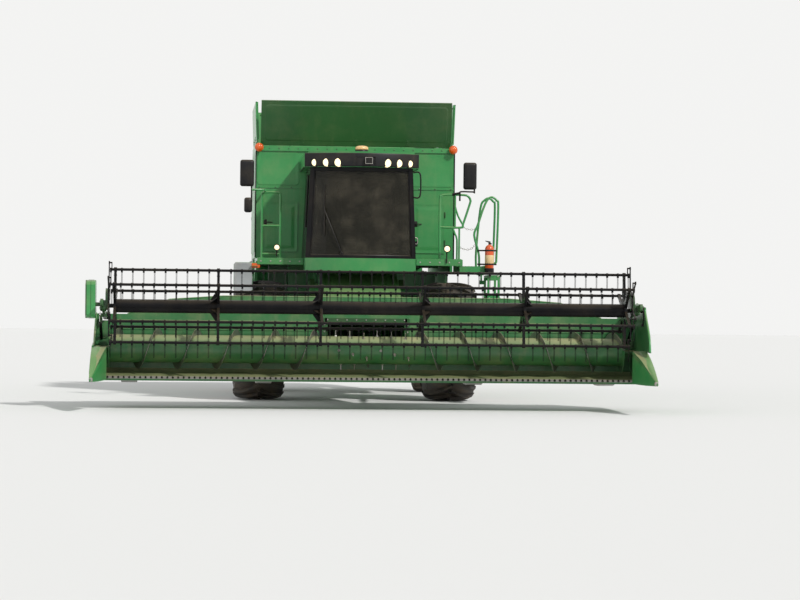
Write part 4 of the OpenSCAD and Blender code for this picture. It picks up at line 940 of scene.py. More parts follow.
# pressed service doors, the seam and the ledge with bolts, grab handles and side trims
def makeFrontWall():
    skin = -0.0145
    doors = []
    rise = ((0.0, -0.004), (0.0, 0.004), (0.010, 0.004), (0.022, 0.0005), (0.055, 0.0005),
            (0.080, 0.007), (0.110, 0.007))
    for x0, x1 in ((0.900, 1.405), (-1.455, -0.900)):
        doors.append(pressed((x0, 2.305), (x1, 3.075), skin, "y", -1, rise, 0.035))
    for x0, x1 in ((-1.540, -0.880), (0.880, 1.540)):
        doors.append(pressed((x0, 3.340), (x1, 3.860), 0.0, "y", -1,
                             ((0.0, -0.004), (0.006, 0.006), (0.030, 0.006), (0.045, 0.002)), 0.05))
    build("frontPanels", doors, "green", smooth=30)
    hinges = [rod(0, 0.09, 0.012, (x, skin - 0.010, z), "z")
              for x in (1.412, -1.462) for z in (2.42, 2.86)]
    heads = [(x, -0.0302, 3.912) for x in np.linspace(-1.50, 1.50, 21)]
    heads += [(x, -0.0122, 3.3075) for x in np.linspace(-1.50, 1.50, 13) if abs(x) > 0.9]
    # hinges and bolt heads are drawn in the green darkened as painted shade
    build("frontHinges", [*hinges, bolts(heads, "y", -1, 0.009)], "greenShaded")
    t = np.linspace(0, np.pi, 14)
    grips = []
    for x, z in ((0.985, 2.760), (-1.350, 2.760)):
        path = [(x + 0.055 * math.cos(s), skin - 0.006 - 0.034 * math.sin(s), z) for s in t]
        grips.append(tubeShape(path, 0.008, 10))
        grips.append(pressed((x - 0.075, z - 0.045), (x + 0.075, z + 0.045), skin - 0.0005, "y", -1,
                             ((0.0, -0.001), (0.0, 0.003), (0.004, 0.006)), 0.03))
    trims = both(plates([block((1.548, 1.564), (-0.012, 0.030), (2.215, 3.870))]))
    build("frontGrips", grips, "plastic")
    build("cornerTrims", [trims], "black", bevel=0.002)


# tread of raised diamonds on the deck and landing, with toe boards and fixing bolts
def makeDeck():
    treads = []
    floors = (((-1.530, -0.880), (-0.990, -0.045), 2.1905),
              ((0.880, 1.530), (-1.478, -0.045), 2.1905),
              ((1.570, 1.870), (-1.440, -0.975), 2.0905))
    for (x0, x1), (y0, y1), z in floors:
        nx, ny = int((x1 - x0) / 0.045), int((y1 - y0) / 0.045)
        gx, gy = np.meshgrid(np.linspace(x0 + 0.03, x1 - 0.03, nx),
                             np.linspace(y0 + 0.03, y1 - 0.03, ny), indexing="ij")
        turned = (np.add.outer(np.arange(nx), np.arange(ny)) % 2).ravel()
        places = np.stack([gx.ravel(), gy.ravel(), np.full(gx.size, z)], -1)
        for flip in (0, 1):
            c, s = (0.013, 0.004) if flip else (0.004, 0.013)
            points = np.array([(-c, 0, 0), (0, -s, 0), (c, 0, 0), (0, s, 0), (0, 0, 0.0035)])
            faces = np.array([(0, 1, 4, -1), (1, 2, 4, -1), (2, 3, 4, -1), (3, 0, 4, -1),
                              (3, 2, 1, 0)])
            treads.append(copies((points, faces), places[turned == flip]))
    build("deckTread", treads, "green", smooth=20)
    edges = [block((-1.545, -0.842), (-1.003, -0.999), (2.094, 2.186)),
             block((0.842, 1.545), (-1.491, -1.487), (2.094, 2.186)),
             block((1.548, 1.895), (-1.4835, -1.4795), (1.995, 2.085))]
    heads = [(x, -1.0035, 2.140) for x in np.linspace(-1.49, -0.90, 5)]
    heads += [(x, -1.4915, 2.140) for x in np.linspace(0.90, 1.49, 5)]
    build("deckEdges", [plates(edges)], "green", bevel=0.0015)
    build("deckBolts", [bolts(heads, "y", -1, 0.010)], "bare")
    face = [pressed((-1.896, 1.674), (-1.614, 2.116), -0.9755, "y", -1,
                    ((0.0, -0.002), (0.0, 0.001), (0.006, 0.004), (0.014, 0.004), (0.020, 0.002)),
                    0.035)]
    build("markerPlate", face, "grey")
    strap = [block((-1.640, -1.535), (-1.064, -0.984), (2.060, 2.066))]
    build("markerBracket", [plates(strap)], "green", bevel=0.001)


makeRails()
makeMirrors()
makeFrontWall()
makeDeck()
print("rails, mirrors, wall and deck made")


# cab: curved screen, windows, wiper, pillars, handles, roof details
cabLook = dict(
    arcY=-0.300, arcRadius=1.430, inset=0.016, thick=0.008,
    foot=(0.760, 2.230), head=(0.705, 3.505),   # half width and height of the screen's ends
    wallFoot=(0.835, 2.190), wallHead=(0.775, 3.550),
    sideWindow=(-1.400, -0.700, 2.650, 3.470),   # front, rear, foot, head of the right window
    rearWindow=(-0.600, 0.600, 2.750, 3.450),    # its two sides, foot and head
    doorWindow=(-1.360, -0.490, 2.520, 3.440),   # front, rear, foot, head
)


# half width of the screen at a height, straight from its foot to its head
def screenWidth(z):
    (w0, z0), (w1, z1) = cabLook["foot"], cabLook["head"]
    return w0 + (np.asarray(z) - z0) * (w1 - w0) / (z1 - z0)


# half width of the cab's outside at a height
def sideX(z):
    (w0, z0), (w1, z1) = cabLook["wallFoot"], cabLook["wallHead"]
    return w0 + (np.asarray(z) - z0) * (w1 - w0) / (z1 - z0)


# y of the cab's front at x: the circle of the arc's radius about its centre
def onArc(x, outward=0.0):
    r = cabLook["arcRadius"] + outward
    return cabLook["arcY"] - np.sqrt(r * r - np.asarray(x)**2)


# A sheet on the arc over the grid x by z, between two distances outward of it
def curvedSheet(x, z, outer, inner):
    front = np.stack([x, onArc(x, outer), z], -1)
    back = np.stack([x, onArc(x, inner), z], -1)
    nu, nv = x.shape
    count = nu * nv
    faces = [gridFaces(nu, nv), gridFaces(nu, nv)[:, ::-1] + count]
    rim = np.concatenate([np.arange(nv), np.arange(1, nu) * nv + nv - 1,
                          np.arange(nv - 2, -1, -1) + (nu - 1) * nv,
                          np.arange(nu - 2, 0, -1) * nv])
    after = np.roll(rim, -1)
    faces.append(np.stack([rim, rim + count, after + count, after], -1))
    return np.vstack([front.reshape(-1, 3), back.reshape(-1, 3)]), np.vstack(faces)


# four straight strips round a window, through its corners in order
def windowSeal(corners, radius):
    return [tubeShape([corners[k], corners[(k + 1) % 4]], radius, 8) for k in range(4)]


# the corners (a, b) of a window given by its two sides, foot and head
def windowCorners(low, high, foot, head):
    return np.array([(low, foot), (high, foot), (high, head), (low, head)])


# the screen on its arc, the right window leaning with the wall, the rear window upright
def makeGlass():
    z = np.linspace(cabLook["foot"][1] + 0.002, cabLook["head"][1] - 0.002, 25)[None]
    across = np.linspace(-1, 1, 49)[:, None]
    x = across * (screenWidth(z) - 0.002)
    inset, thick = cabLook["inset"], cabLook["thick"]
    screen = curvedSheet(x, np.broadcast_to(z, x.shape), -inset, -inset - thick)
    y, z = windowCorners(*cabLook["sideWindow"]).T
    right = ringSkin([np.stack([off - sideX(z), y, z], -1) for off in (0.0203, 0.0277)])
    rear = plates([block((-0.598, 0.598), (-0.0895, -0.0825), (2.752, 3.448))])
    build("cabPanes", [screen, right, rear], "glass", replaces=["cab_glass"])


# rubber round the screen and windows, a wide pillar cover at each side, wiper and grip
def makeCabTrim():
    (w0, z0), (w1, z1) = cabLook["foot"], cabLook["head"]
    t = np.linspace(0, 1, 13)[1:-1]
    x = np.concatenate([np.linspace(-w0, w0, 25), w0 + (w1 - w0) * t,
                        np.linspace(w1, -w1, 25), (w1 - w0) * t - w1, [-w0]])
    z = np.concatenate([np.full(25, z0), z0 + (z1 - z0) * t, np.full(25, z1), z1 + (z0 - z1) * t,
                        [z0]])
    seals = [tubeShape(np.stack([x, onArc(x, -0.014), z], -1), 0.013, 8)]
    side = windowCorners(*cabLook["sideWindow"])
    rear = windowCorners(*cabLook["rearWindow"])
    seals += windowSeal([(-sideX(z) + 0.012, y, z) for y, z in side], 0.010)
    seals += windowSeal([(x, -0.064, z) for x, z in rear], 0.010)
    build("cabSeals", seals, "plastic")
    covers = []
    for s in (-1, 1):
        z = np.linspace(2.215, 3.540, 12)[None]
        inner, outer = screenWidth(z) + 0.008, sideX(z) - 0.004
        t = np.linspace(0, 1, 5)[:, None]
        x = s * (inner + (outer - inner) * t)
        covers.append(curvedSheet(x, np.broadcast_to(z, x.shape), 0.006, -0.004))
    build("pillarCovers", covers, "black", smooth=30)
    # wiper, parked upright beside the right pillar
    bladeX = -0.560
    pivot = np.array((-0.300, onArc(-0.300, 0.010), 2.262))
    arm = [pivot, (-0.420, onArc(-0.420, 0.028), 2.560), (bladeX, onArc(bladeX, 0.026), 2.900)]
    blade = [(bladeX, onArc(bladeX, 0.010), z) for z in np.linspace(2.520, 3.280, 12)]
    clip = block((bladeX - 0.008, bladeX + 0.008), (onArc(bladeX, 0.030), onArc(bladeX, 0.004)),
                 (2.860, 2.940))
    wiper = [tubeShape(smoothPath(arm, 6), 0.007, 8), tubeShape(blade, 0.007, 6),
             turnedShape([(0.0, 0), (0.0, 0.022), (-0.022, 0.018), (-0.026, 0)],
                         pivot + (0, 0.016, 0), "y", 20), plates([clip])]
    grip = [[(0.785, -1.500, 3.490), (0.850, -1.522, 3.500), (0.885, -1.535, 3.460),
             (0.893, -1.535, 3.300), (0.885, -1.535, 3.150), (0.850, -1.522, 3.110),
             (0.795, -1.500, 3.120)]]
    build("wiper", wiper, "plastic")
    build("cabGrip", [pipes(grip, 0.012, 10, 5)], "plastic")


# gutter round the eaves, pressed ribs on the crown, a square lamp and its bracket
def makeRoof():
    ribs = [pressed((x - 0.05, -1.15), (x + 0.05, -0.25), 3.7898, "z", 1,
                    ((0.0, -0.001), (0.004, 0.006), (0.020, 0.009), (0.032, 0.009)), 0.03)
            for x in (-0.62, -0.37, 0.37, 0.62)]
    hatch = pressed((-0.26, -0.98), (0.26, -0.42), 3.7898, "z", 1,
                    ((0.0, -0.001), (0.0, 0.016), (0.008, 0.024), (0.035, 0.026), (0.05, 0.022),
                     (0.09, 0.022)), 0.06)
    build("roofRibs", [*ribs, hatch], "green", smooth=30)
    gutter = [block((s * 0.861 - 0.010, s * 0.861 + 0.010), (-1.33, -0.060), (3.548, 3.566))
              for s in (-1, 1)]
    build("roofGutter", [plates(gutter)], "plastic", bevel=0.002)
    y = -1.812
    box = [block((0.035, 0.135), (y - 0.055, y + 0.006), (3.600, 3.690))]
    frame = [block((0.030, 0.140), (y - 0.062, y - 0.052), (z, z + 0.008)) for z in (3.595, 3.687)]
    frame += [block((x, x + 0.008), (y - 0.062, y - 0.052), (3.600, 3.690)) for x in (0.030, 0.132)]
    stay = [block((x, x + 0.012), (y - 0.010, y + 0.012), (3.590, 3.715)) for x in (-0.100, 0.180)]
    stay += [block((-0.100, 0.192), (y - 0.014, y - 0.004), (3.700, 3.712))]
    build("roofSquareLamp", [plates(box + stay)], "plastic", bevel=0.002)
    build("roofLampFrame", [plates(frame)], "bare", bevel=0.001)


# door: pressed lower panel, seal, hinge knuckles, lock with a pull
def makeDoorTrim():
    z0, z1, y0, y1 = 2.262, 2.508, -1.405, -0.435   # the pressed panel
    rings = []
    for inset, out in ((0.0, 0.001), (0.010, 0.008), (0.030, 0.008), (0.045, 0.002)):
        z = np.array([z0 + inset, z0 + inset, z1 - inset, z1 - inset])
        y = np.array([y0 + inset, y1 - inset, y1 - inset, y0 + inset])
        rings.append(np.stack([sideX(z) + out, y, z], -1))
    window = windowCorners(*cabLook["doorWindow"])
    seals = windowSeal([(sideX(z) - 0.004, y, z) for y, z in window], 0.011)
    knuckles = [rod(-0.045, 0.045, 0.013, (sideX(z) + 0.016, -0.436, z), "z")
                for z in (2.400, 3.350)]
    lock = [(sideX(2.42) + 0.004, -1.375, 2.420), (sideX(2.42) + 0.038, -1.375, 2.425),
            (sideX(2.52) + 0.040, -1.372, 2.500), (sideX(2.53) + 0.006, -1.372, 2.515)]
    build("doorPanel", [ringSkin(rings, first=False)], "black", "door", smooth=25)
    build("doorSeals", seals + knuckles, "plastic", "door")
    build("doorPull", [tubeShape(smoothPath(lock, 5), 0.009, 10)], "bare", "door")


# the size of a value to a power, with the value's own sign
def signedPower(value, power):
    return np.sign(value) * np.abs(value)**power


# A stuffed pad: a superellipsoid box whose faces crown outwards and whose sides pull in between
# the corners; sewn channels dip its top by a rounded wave
def cushion(low, high, crown, pinch):
    u = np.linspace(-np.pi / 2, np.pi / 2, 25)[:, None]
    v = np.linspace(-np.pi, np.pi, 49)[None, :-1]
    x = signedPower(np.cos(u), 0.45) * signedPower(np.cos(v), 0.32)
    y = signedPower(np.cos(u), 0.45) * signedPower(np.sin(v), 0.32)
    z = signedPower(np.sin(u), 0.55) * np.ones_like(v)
    unit = np.stack([x, y, z], -1)
    unit[..., 0] *= 1 - pinch * (1 - unit[..., 1]**2) * (1 - unit[..., 0]**2 * 0.2)
    unit[..., 1] *= 1 - pinch * (1 - unit[..., 0]**2) * 0.6
    swell = 1 + crown * (1 - unit[..., 0]**2) * (1 - unit[..., 1]**2)
    wave = np.abs(np.sin(unit[..., 0] * 3 * np.pi / 2))**0.5
    swell = swell - crown * 0.7 * (1 - wave) * (unit[..., 2] > 0)
    unit[..., 2] *= swell
    half = (np.array(high) - np.array(low)) / 2
    half[2] /= 1 + crown
    return gridShape(unit * half + (np.array(low) + np.array(high)) / 2, closeV=True)


# bellows seat with cushion and back
def makeSeat():
    folds = [(2.240 + 0.022 * k, 0.205 + 0.016 * (k % 2)) for k in range(14)]
    base = turnedShape([(2.240, 0.0), *folds, (2.545, 0.0)], (0, -0.520, 0), "z", 32)
    pan = plates([block((-0.235, 0.235), (-0.755, -0.285), (2.540, 2.572))])
    build("seatBellows", [base, pan], "plastic")
    pad = cushion((-0.245, -0.795, 2.565), (0.245, -0.265, 2.700), 0.22, 0.03)
    points, faces = cushion((-0.235, -0.320, -0.070), (0.235, 0.320, 0.070), 0.25, 0.05)
    points = tilted(points, 1, 2, 80, (0, 0))
    points += (0, -0.345 - points[:, 1].mean(), 3.000 - points[:, 2].mean())
    for name, shape in (("seatCushion", pad), ("seatBack", (points, faces))):
        build(name, [shape], "seat", smooth=60)


# wheel on its column with a knob, and the console with its stick and buttons
def makeControls():
    t = np.linspace(0, 2 * np.pi, 49)
    lean = math.radians(17)
    up = np.array([0, -math.sin(lean), math.cos(lean)])
    side, fore = np.array([1.0, 0, 0]), np.array([0, math.cos(lean), math.sin(lean)])
    hub = np.array([0, -1.010, 2.850])
    ring = hub + 0.190 * (np.cos(t)[:, None] * side + np.sin(t)[:, None] * fore)
    spokes = [[hub - 0.012 * up, hub + 0.188 * (math.cos(a) * side + math.sin(a) * fore)]
              for a in np.radians((30, 150, 270))]
    column = [tubeShape([(0, -1.180, 2.290), (0, -1.100, 2.555), (0, -1.014, 2.838)],
                        (0.055, 0.045, 0.036), 20),
              tubeShape(ring, 0.0155, 12), *[tubeShape(p, 0.010, 8) for p in spokes],
              plates([block((-0.075, 0.075), (-1.245, -1.115), (2.238, 2.300))]),
              turnedShape([(-0.02, 0), (-0.02, 0.035), (0.012, 0.035), (0.016, 0)], hub, "z", 24)]
    knob = turnedShape([(0, 0.006), (0.020, 0.006), (0.026, 0.018), (0.048, 0.022), (0.060, 0)],
                       ring[30] + 0.01 * up, "z", 16)
    build("steering", [*column, knob], "plastic", replaces=["cab_seat"])
    stick = [(-0.385, -0.860, 2.745), (-0.385, -0.875, 2.800), (-0.385, -0.885, 2.850)]
    console = [pressed((-0.478, -0.995), (-0.292, -0.425), 2.700, "z", 1,
                       ((0.0, -0.06), (0.0, 0.045), (0.010, 0.058), (0.022, 0.058)), 0.04),
               plates([block((-0.468, -0.322), (-0.698, -0.562), (2.238, 2.655))]),
               tubeShape(stick, (0.010, 0.014, 0.024), 12),
               plates([block((-0.440, -0.330), (-0.985, -0.970), (2.755, 2.835))])]
    button = turnedShape([(0, 0), (0, 0.009), (0.006, 0.009), (0.007, 0)], (0, 0, 0), "z", 10)
    console.append(copies(button, [(x, y, 2.757) for x in (-0.44, -0.41)
                                   for y in (-0.62, -0.58, -0.54)]))
    build("seatConsole", console, "plastic", bevel=0.002)


makeGlass()
makeCabTrim()
makeRoof()
makeDoorTrim()
makeSeat()
makeControls()
print("cab made")


# header: knife and guards, auger with flights and fingers, sheets, dividers
headerLook = dict(
    sheetX=3.910, backY=-2.860, knifeZ=0.450, guardPitch=0.0762, guards=98,
    augerY=-3.180, augerZ=0.840, augerEnd=3.700, tube=0.200, flight=0.290, pitch=0.560,
    flightFrom=0.620, flightTo=3.688,
)


# forged guards that taper to a point, knife sections between them on a flat back
def makeKnife():
    h = headerLook
    z, half = h["knifeZ"], h["guardPitch"] * (h["guards"] - 1) / 2
    at = np.linspace(-half, half, h["guards"])
    zero = np.zeros_like(at)
    guard = tubeShape([(0, -3.846, z - 0.002), (0, -3.870, z - 0.003), (0, -3.905, z - 0.005),
                       (0, -3.935, z - 0.006), (0, -3.960, z - 0.007)],
                      (0.017, 0.016, 0.013, 0.009, 0.002), 8)
    lip = plates([([(-0.007, -3.852), (0.007, -3.852), (0.004, -3.930), (-0.004, -3.930)],
                   z + 0.012, z + 0.0165, "z")])
    section = plates([([(-0.036, -3.840), (0.036, -3.840), (0.036, -3.858), (0.008, -3.925),
                        (-0.008, -3.925), (-0.036, -3.858)], z + 0.005, z + 0.008, "z")])
    bar = plates([block((-3.848, 3.848), (-3.850, -3.790), (z - 0.020, z + 0.005)),
                  block((-3.840, 3.840), (-3.842, -3.826), (z + 0.008, z + 0.0145))])
    guards = copies(joinShapes([guard, lip]), np.stack([at, zero, zero], 1))
    shift = np.stack([at[:-1] + h["guardPitch"] / 2, zero[:-1], zero[:-1]], 1)
    rivets = bolts([(x + d, -3.834, z + 0.0145) for x in at[::2] for d in (-0.014, 0.014)],
                   "z", 1, 0.005)
    build("knifeGuards", [guards], "black", "header", replaces=["cutterbar"], smooth=50)
    build("knifeBar", [bar, copies(section, shift), rivets], "bare", "header")


# tube, flights as a helix on each half, and rows of fingers that stand out in the middle
def makeAuger():
    h = headerLook
    end, r = h["augerEnd"], h["tube"]
    tube = [(-end, 0.036), (-end, h["flight"]), (-end + 0.004, h["flight"]),
            (-end + 0.004, r + 0.02), (-end + 0.016, r), (end - 0.016, r),
            (end - 0.004, r + 0.02), (end - 0.004, h["flight"]), (end, h["flight"]), (end, 0.036)]
    centre = (0, h["augerY"], h["augerZ"])
    build("augerTube", [turnedShape(tube, centre, "x", 96)], "greenDustAndShade", "header_auger",
          replaces=["header_auger"], smooth=30)
    length = h["flightTo"] - h["flightFrom"]
    n = int(length / h["pitch"] * 64)
    s = np.linspace(0, 1, n + 1)
    turn = s * length / h["pitch"] * 2 * np.pi
    sheets = []
    for side in (1, -1):
        section = ((r - 0.002, 0.0), (h["flight"], 0.002), (h["flight"], 0.006), (r - 0.002, 0.008))
        rings = [np.stack([side * (h["flightFrom"] + s * length + off),
                           h["augerY"] + rad * np.cos(turn), h["augerZ"] + rad * np.sin(turn)], -1)
                 for rad, off in section]
        sheets.append(ringSkin(np.stack(rings, 1)))
    build("augerFlights", sheets, "bare", "header_auger", replaces=["auger_flights"], smooth=45)
    fingers = []
    for row in range(4):
        for k, x in enumerate(np.linspace(-0.50, 0.50, 6)):
            a = math.radians(90 * row + 15 * (k % 3))
            out = np.array([0, math.cos(a), math.sin(a)])
            base = np.array(centre) + (x + 0.04 * row, 0, 0)
            fingers.append(tubeShape([base + out * (r - 0.01), base + out * 0.286], 0.008, 8))
            fingers.append(tubeShape([base + out * (r - 0.004), base + out * (r + 0.012)],
                                     (0.022, 0.017), 12))
    build("augerFingers", fingers, "bare", "header_auger")


# ribs pressed into the back sheet, the frame round its mouth and the rod screen above it
def makeBackSheet():
    front = headerLook["backY"] - 0.0005
    ribs = []
    for x0, x1 in ((-3.66, -0.72), (0.72, 3.66)):
        for z in (0.985, 1.115, 1.235):
            ribs.append(pressed((x0, z - 0.014), (x1, z + 0.014), front, "y", -1,
                                ((0.0, -0.001), (0.005, 0.006), (0.012, 0.007)), 0.014))
    for x in np.linspace(-3.3, 3.3, 11):
        if abs(x) > 0.7:
            ribs.append(plates([block((x - 0.020, x + 0.020), (front - 0.003, front + 0.001),
                                      (0.60, 1.32))]))
    build("backRibs", ribs, "greenDustAndShade", "header", smooth=30)
    deep = (front - 0.006, front + 0.001)
    frame = [block((x - 0.035, x + 0.035), deep, (0.64, 1.30)) for x in (-0.60, 0.60)]
    frame += [block((-0.60, 0.60), deep, (1.242, 1.30))]
    heads = [(x, front - 0.006, 1.272) for x in np.linspace(-0.56, 0.56, 9)]
    heads += [(s * 0.605, front - 0.006, z) for s in (-1, 1) for z in np.linspace(0.70, 1.20, 6)]
    # the mouth frame is drawn in the green darkened as painted shade
    build("mouthFrame", [plates(frame)], "greenShaded", "header", bevel=0.0015)
    build("mouthBolts", [bolts(heads, "y", -1, 0.009)], "bare", "header")
    top = [(-3.45, -2.842, 1.330), (-2.85, -2.842, 1.545), (-2.08, -2.842, 1.600),
           (2.08, -2.842, 1.600), (2.85, -2.842, 1.545), (3.45, -2.842, 1.330)]
    across, back, tall = np.transpose(top)
    y = back[0] - 0.009
    rods = [[(x, y, 1.325), (x, y, np.interp(x, across, tall))] for x in np.linspace(-3.3, 3.3, 23)]
    build("cropScreen", [pipes([top[k:k + 2] for k in range(5)], 0.011, 10, 1),
                         pipes(rods, 0.006, 8, 1)], "greenDustAndShade", "header")


# rolled edges, bolts and a lever on the end sheets, and soles on the skids
def makeEnds():
    sheetX = headerLook["sheetX"]
    rolled = []
    for s in (-1, 1):
        edge = [(-2.74, 1.328), (-2.96, 1.328), (-3.08, 1.230), (-3.56, 0.940), (-4.12, 0.880)]
        if s > 0:
            edge = [(-2.74, 1.328), (-2.96, 1.330), (-3.15, 1.500), (-3.30, 1.540), (-3.40, 1.540),
                    (-3.95, 1.490), (-4.02, 1.420), (-4.36, 1.090), (-4.44, 0.870)]
        foot = [(-4.12, 0.405), (-3.30, 0.420), (-3.05, 0.434), (-2.75, 0.482)]
        for way, x, radius in ((edge, sheetX - 0.0155, 0.016), (foot, sheetX - 0.013, 0.014)):
            rolled.append(pipes([[(s * x, y, z) for y, z in way]], radius, 10, 3))
        for y, z0, z1 in ((-2.90, 0.50, 1.28), (-3.45, 0.44, 0.98)):
            rolled.append(plates([block((s * sheetX - 0.0005, s * sheetX + 0.0005),
                                        (y - 0.03, y + 0.03), (z0, z1))]))
    build("endEdges", rolled, "green", "header")
    skids = [plates([([(-3.74, 0.392), (-3.58, 0.370), (-3.30, 0.366), (-3.05, 0.385),
                       (-3.05, 0.395), (-3.30, 0.392), (-3.58, 0.398), (-3.74, 0.402)],
                      x - 0.11, x + 0.11, "x")]) for x in (-3.4, -1.5, 1.5, 3.4)]
    build("skidSoles", skids, "bare", "header", bevel=0.001)
    places = [(sheetX - 0.0055, y, z) for y, z in ((-2.82, 1.25), (-2.82, 0.60), (-3.45, 0.90),
                                                   (-3.45, 0.50), (-3.95, 0.80), (-3.95, 0.47))]
    build("endBolts", [both(bolts(places, "x", 1, 0.010))], "bare", "header")
    lever = [(3.870, -3.930, 1.520), (3.865, -4.010, 1.470), (3.868, -4.030, 1.380),
             (3.860, -4.060, 1.300), (3.852, -4.045, 1.250)]
    knob = rod(-0.016, 0.016, 0.018, (3.852, -4.045, 1.245), steps=20)
    bracket = plates([block((3.835, 3.9095), (-3.99, -3.90), (1.485, 1.500)),
                      block((3.840, 3.884), (-3.945, -3.925), (1.420, 1.500))])
    build("endLever", [pipes([lever], 0.010, 10, 5), knob, bracket], "black", "header")


# snouts of rounded sheet: sections of a D that shrink and droop towards the tip, each with a
# nose piece and a pressed seam along its outside
def makeDividers():
    stations = (   # y, inner x, low z, high z, roundness
        (-4.100, 3.703, 0.418, 0.882, 0.10), (-4.250, 3.722, 0.416, 0.838, 0.10),
        (-4.480, 3.758, 0.413, 0.762, 0.09), (-4.750, 3.806, 0.413, 0.640, 0.07),
        (-4.940, 3.848, 0.415, 0.535, 0.045), (-5.030, 3.872, 0.420, 0.475, 0.024),
    )
    outer = 3.9062
    rings = []
    for y, inner, low, high, radius in stations:
        radius = min(radius, (high - low) * 0.45, (outer - inner) * 0.8)
        a = np.linspace(np.pi / 2, np.pi, 7)
        arc = np.stack([inner + radius + radius * np.cos(a), high - radius + radius * np.sin(a)], 1)
        ring = np.vstack([[(outer, low), (outer, high)], arc, [(inner, low)]])
        rings.append(onAxis("y", np.full(len(ring), y), *ring.T))
    nose = turnedShape([(0.0, 0.030), (-0.012, 0.026), (-0.018, 0.0)], (3.880, -5.028, 0.448),
                       "y", 20)
    build("dividerSnouts", [both(ringSkin(rings))], "green", "header", smooth=40)
    build("dividerTips", [both(nose)], "bare", "header")
    seam = [[(outer + 0.0008, y, z) for y, z in ((-4.11, 0.870), (-4.48, 0.750), (-4.75, 0.630),
                                                 (-4.94, 0.525))]]
    # the seam is drawn in the green darkened as painted shade
    build("dividerSeams", [both(pipes(seam, 0.003, 6, 3))], "greenShaded", "header")


makeKnife()
makeAuger()
makeBackSheet()
makeEnds()
makeDividers()
print("header made")


# reel: centre tube, spiders of a star sheet, control stars, carriages and arms
spiderLook = dict(
    tube=0.095, plate=0.0185, hub=0.150, armRoot=0.052, armTip=0.022, reach=0.492,
)
armLook = dict(
    pivot=(-2.800, 1.300), axis=(-4.000, 1.450), outerX=3.785,
    ramX=3.815, ramBase=(-3.000, 0.980), ramEye=(-3.620, 1.330),
    liftX=0.768, liftBase=(-0.450, 0.780), liftEye=(-2.250, 0.920),
)


# A star in the y,z plane: between arms the hub's circle, along an arm its half width falls from
# root to tip by a square, and its end is a half circle
def starOutline(centre, hub, reach, root, tip, first):
    ring = []
    for k in range(6):
        a = math.radians(first + 60 * k)
        out, side = np.array([math.cos(a), math.sin(a)]), np.array([-math.sin(a), math.cos(a)])
        t = np.linspace(0, 1, 7)
        along = hub * 0.97 + (reach - hub * 0.97) * t
        half = tip + (root - tip) * (1 - t)**2
        end = np.radians(np.linspace(-90, 90, 9))[1:-1]
        ring += [centre + out * r - side * w for r, w in zip(along, half)]
        ring += [centre + out * (reach + tip * math.cos(e)) + side * tip * math.sin(e)
                 for e in end]
        ring += [centre + out * r + side * w for r, w in zip(along[::-1], half[::-1])]
        spread = math.atan2(root, hub)
        for g in np.linspace(spread * 1.3, math.radians(60) - spread * 1.3, 4):
            ring.append(centre + hub * np.array([math.cos(a + g), math.sin(a + g)]))
    return [tuple(p) for p in ring]


# A bush between x0 and x1
def sleeve(x0, x1, centre, inner, outer, steps=32):
    profile = [(x0, inner), (x0, outer), (x1, outer), (x1, inner), (x0, inner)]
    return turnedShape(profile, (0, *centre), "x", steps)


# the tube on its two shafts, and spiders of a star sheet with bushes, ties and gussets
def makeSpiders():
    look = reelLook
    centre, half = np.array(look["axis"]), look["spiderHalf"]
    s = spiderLook
    tube = rod(-half, half, s["tube"], (0, *centre), steps=64)
    shafts = [rod(low, high, 0.030, (0, *centre), steps=40)
              for low, high in ((-3.730, -3.589), (3.589, 3.730))]
    sheets, webs, sleeves, heads = [], [], [], []
    outline = starOutline(centre, s["hub"], s["reach"], s["armRoot"], s["armTip"],
                          look["firstBat"])
    for x in np.linspace(-half, half, look["spiderCount"]):
        sheets.append((outline, x - s["plate"], x + s["plate"], "x"))
        low, high = x - 0.021, x + 0.021
        sleeves.append(sleeve(low, high, centre, s["tube"] - 0.001, s["tube"] + 0.012, 48))
        for k in range(6):
            sleeves.append(sleeve(low, high, batPlace(k), 0.0202, 0.0315, 24))
            for r in (0.200, 0.320, 0.430):
                heads += aroundX(x, *centre, r, [look["firstBat"] + 60 * k])
        if abs(x) < 3:
            # gussets from the tube to the spider, on its side away from the middle
            out = math.copysign(1, x)
            for k in range(6):
                web = plates([([(x + out * 0.018, 0.093), (x + out * 0.115, 0.093),
                                (x + out * 0.018, 0.230)], -0.006, 0.006, "y")])
                points = tilted(web[0], 1, 2, look["firstBat"] - 90 + 60 * k, centre)
                webs.append((points, web[1]))
    ties = copies(turnedShape([(-0.022, 0), (-0.022, 0.006), (-0.018, 0.010), (0.018, 0.010),
                               (0.022, 0.006), (0.022, 0)], (0, 0, 0), "x", 8), heads)
    build("reelTube", [tube, *shafts], "black", "reel", replaces=["reel"], smooth=30)
    build("reelSpiders", [plates(sheets), *webs, *sleeves, ties], "black", "reel", smooth=30)


# control stars: a ring on the raised bearing plate, arms to the cranks of the bats
def makeStars():
    look = reelLook
    up = np.array([look["axis"][0], look["axis"][1] + look["starRise"]])
    parts = []
    for side in (-1, 1):
        x0, x1 = sorted(side * x for x in look["starX"])
        parts.append(sleeve(x0, x1, up, 0.1502, 0.188, 64))
        for k in range(6):
            y, z = batPlace(k)
            a = math.radians(look["firstBat"] + 60 * k)
            out = np.array([math.cos(a), math.sin(a)])
            across = np.array([-out[1], out[0]])
            tip = np.array([y, z + look["starRise"]])
            arm = [up + out * 0.182 - across * 0.030, up + out * 0.300 - across * 0.018,
                   tip - out * 0.020 - across * 0.015, tip - out * 0.020 + across * 0.015,
                   up + out * 0.300 + across * 0.018, up + out * 0.182 + across * 0.030]
            parts.append(plates([([tuple(p) for p in arm], x0 + 0.001, x1 - 0.001, "x")]))
            parts.append(sleeve(x0, x1, tip, 0.0125, 0.0235, 24))
    build("controlStars", parts, "black", "cam_stars", replaces=["cam_stars"], smooth=30)


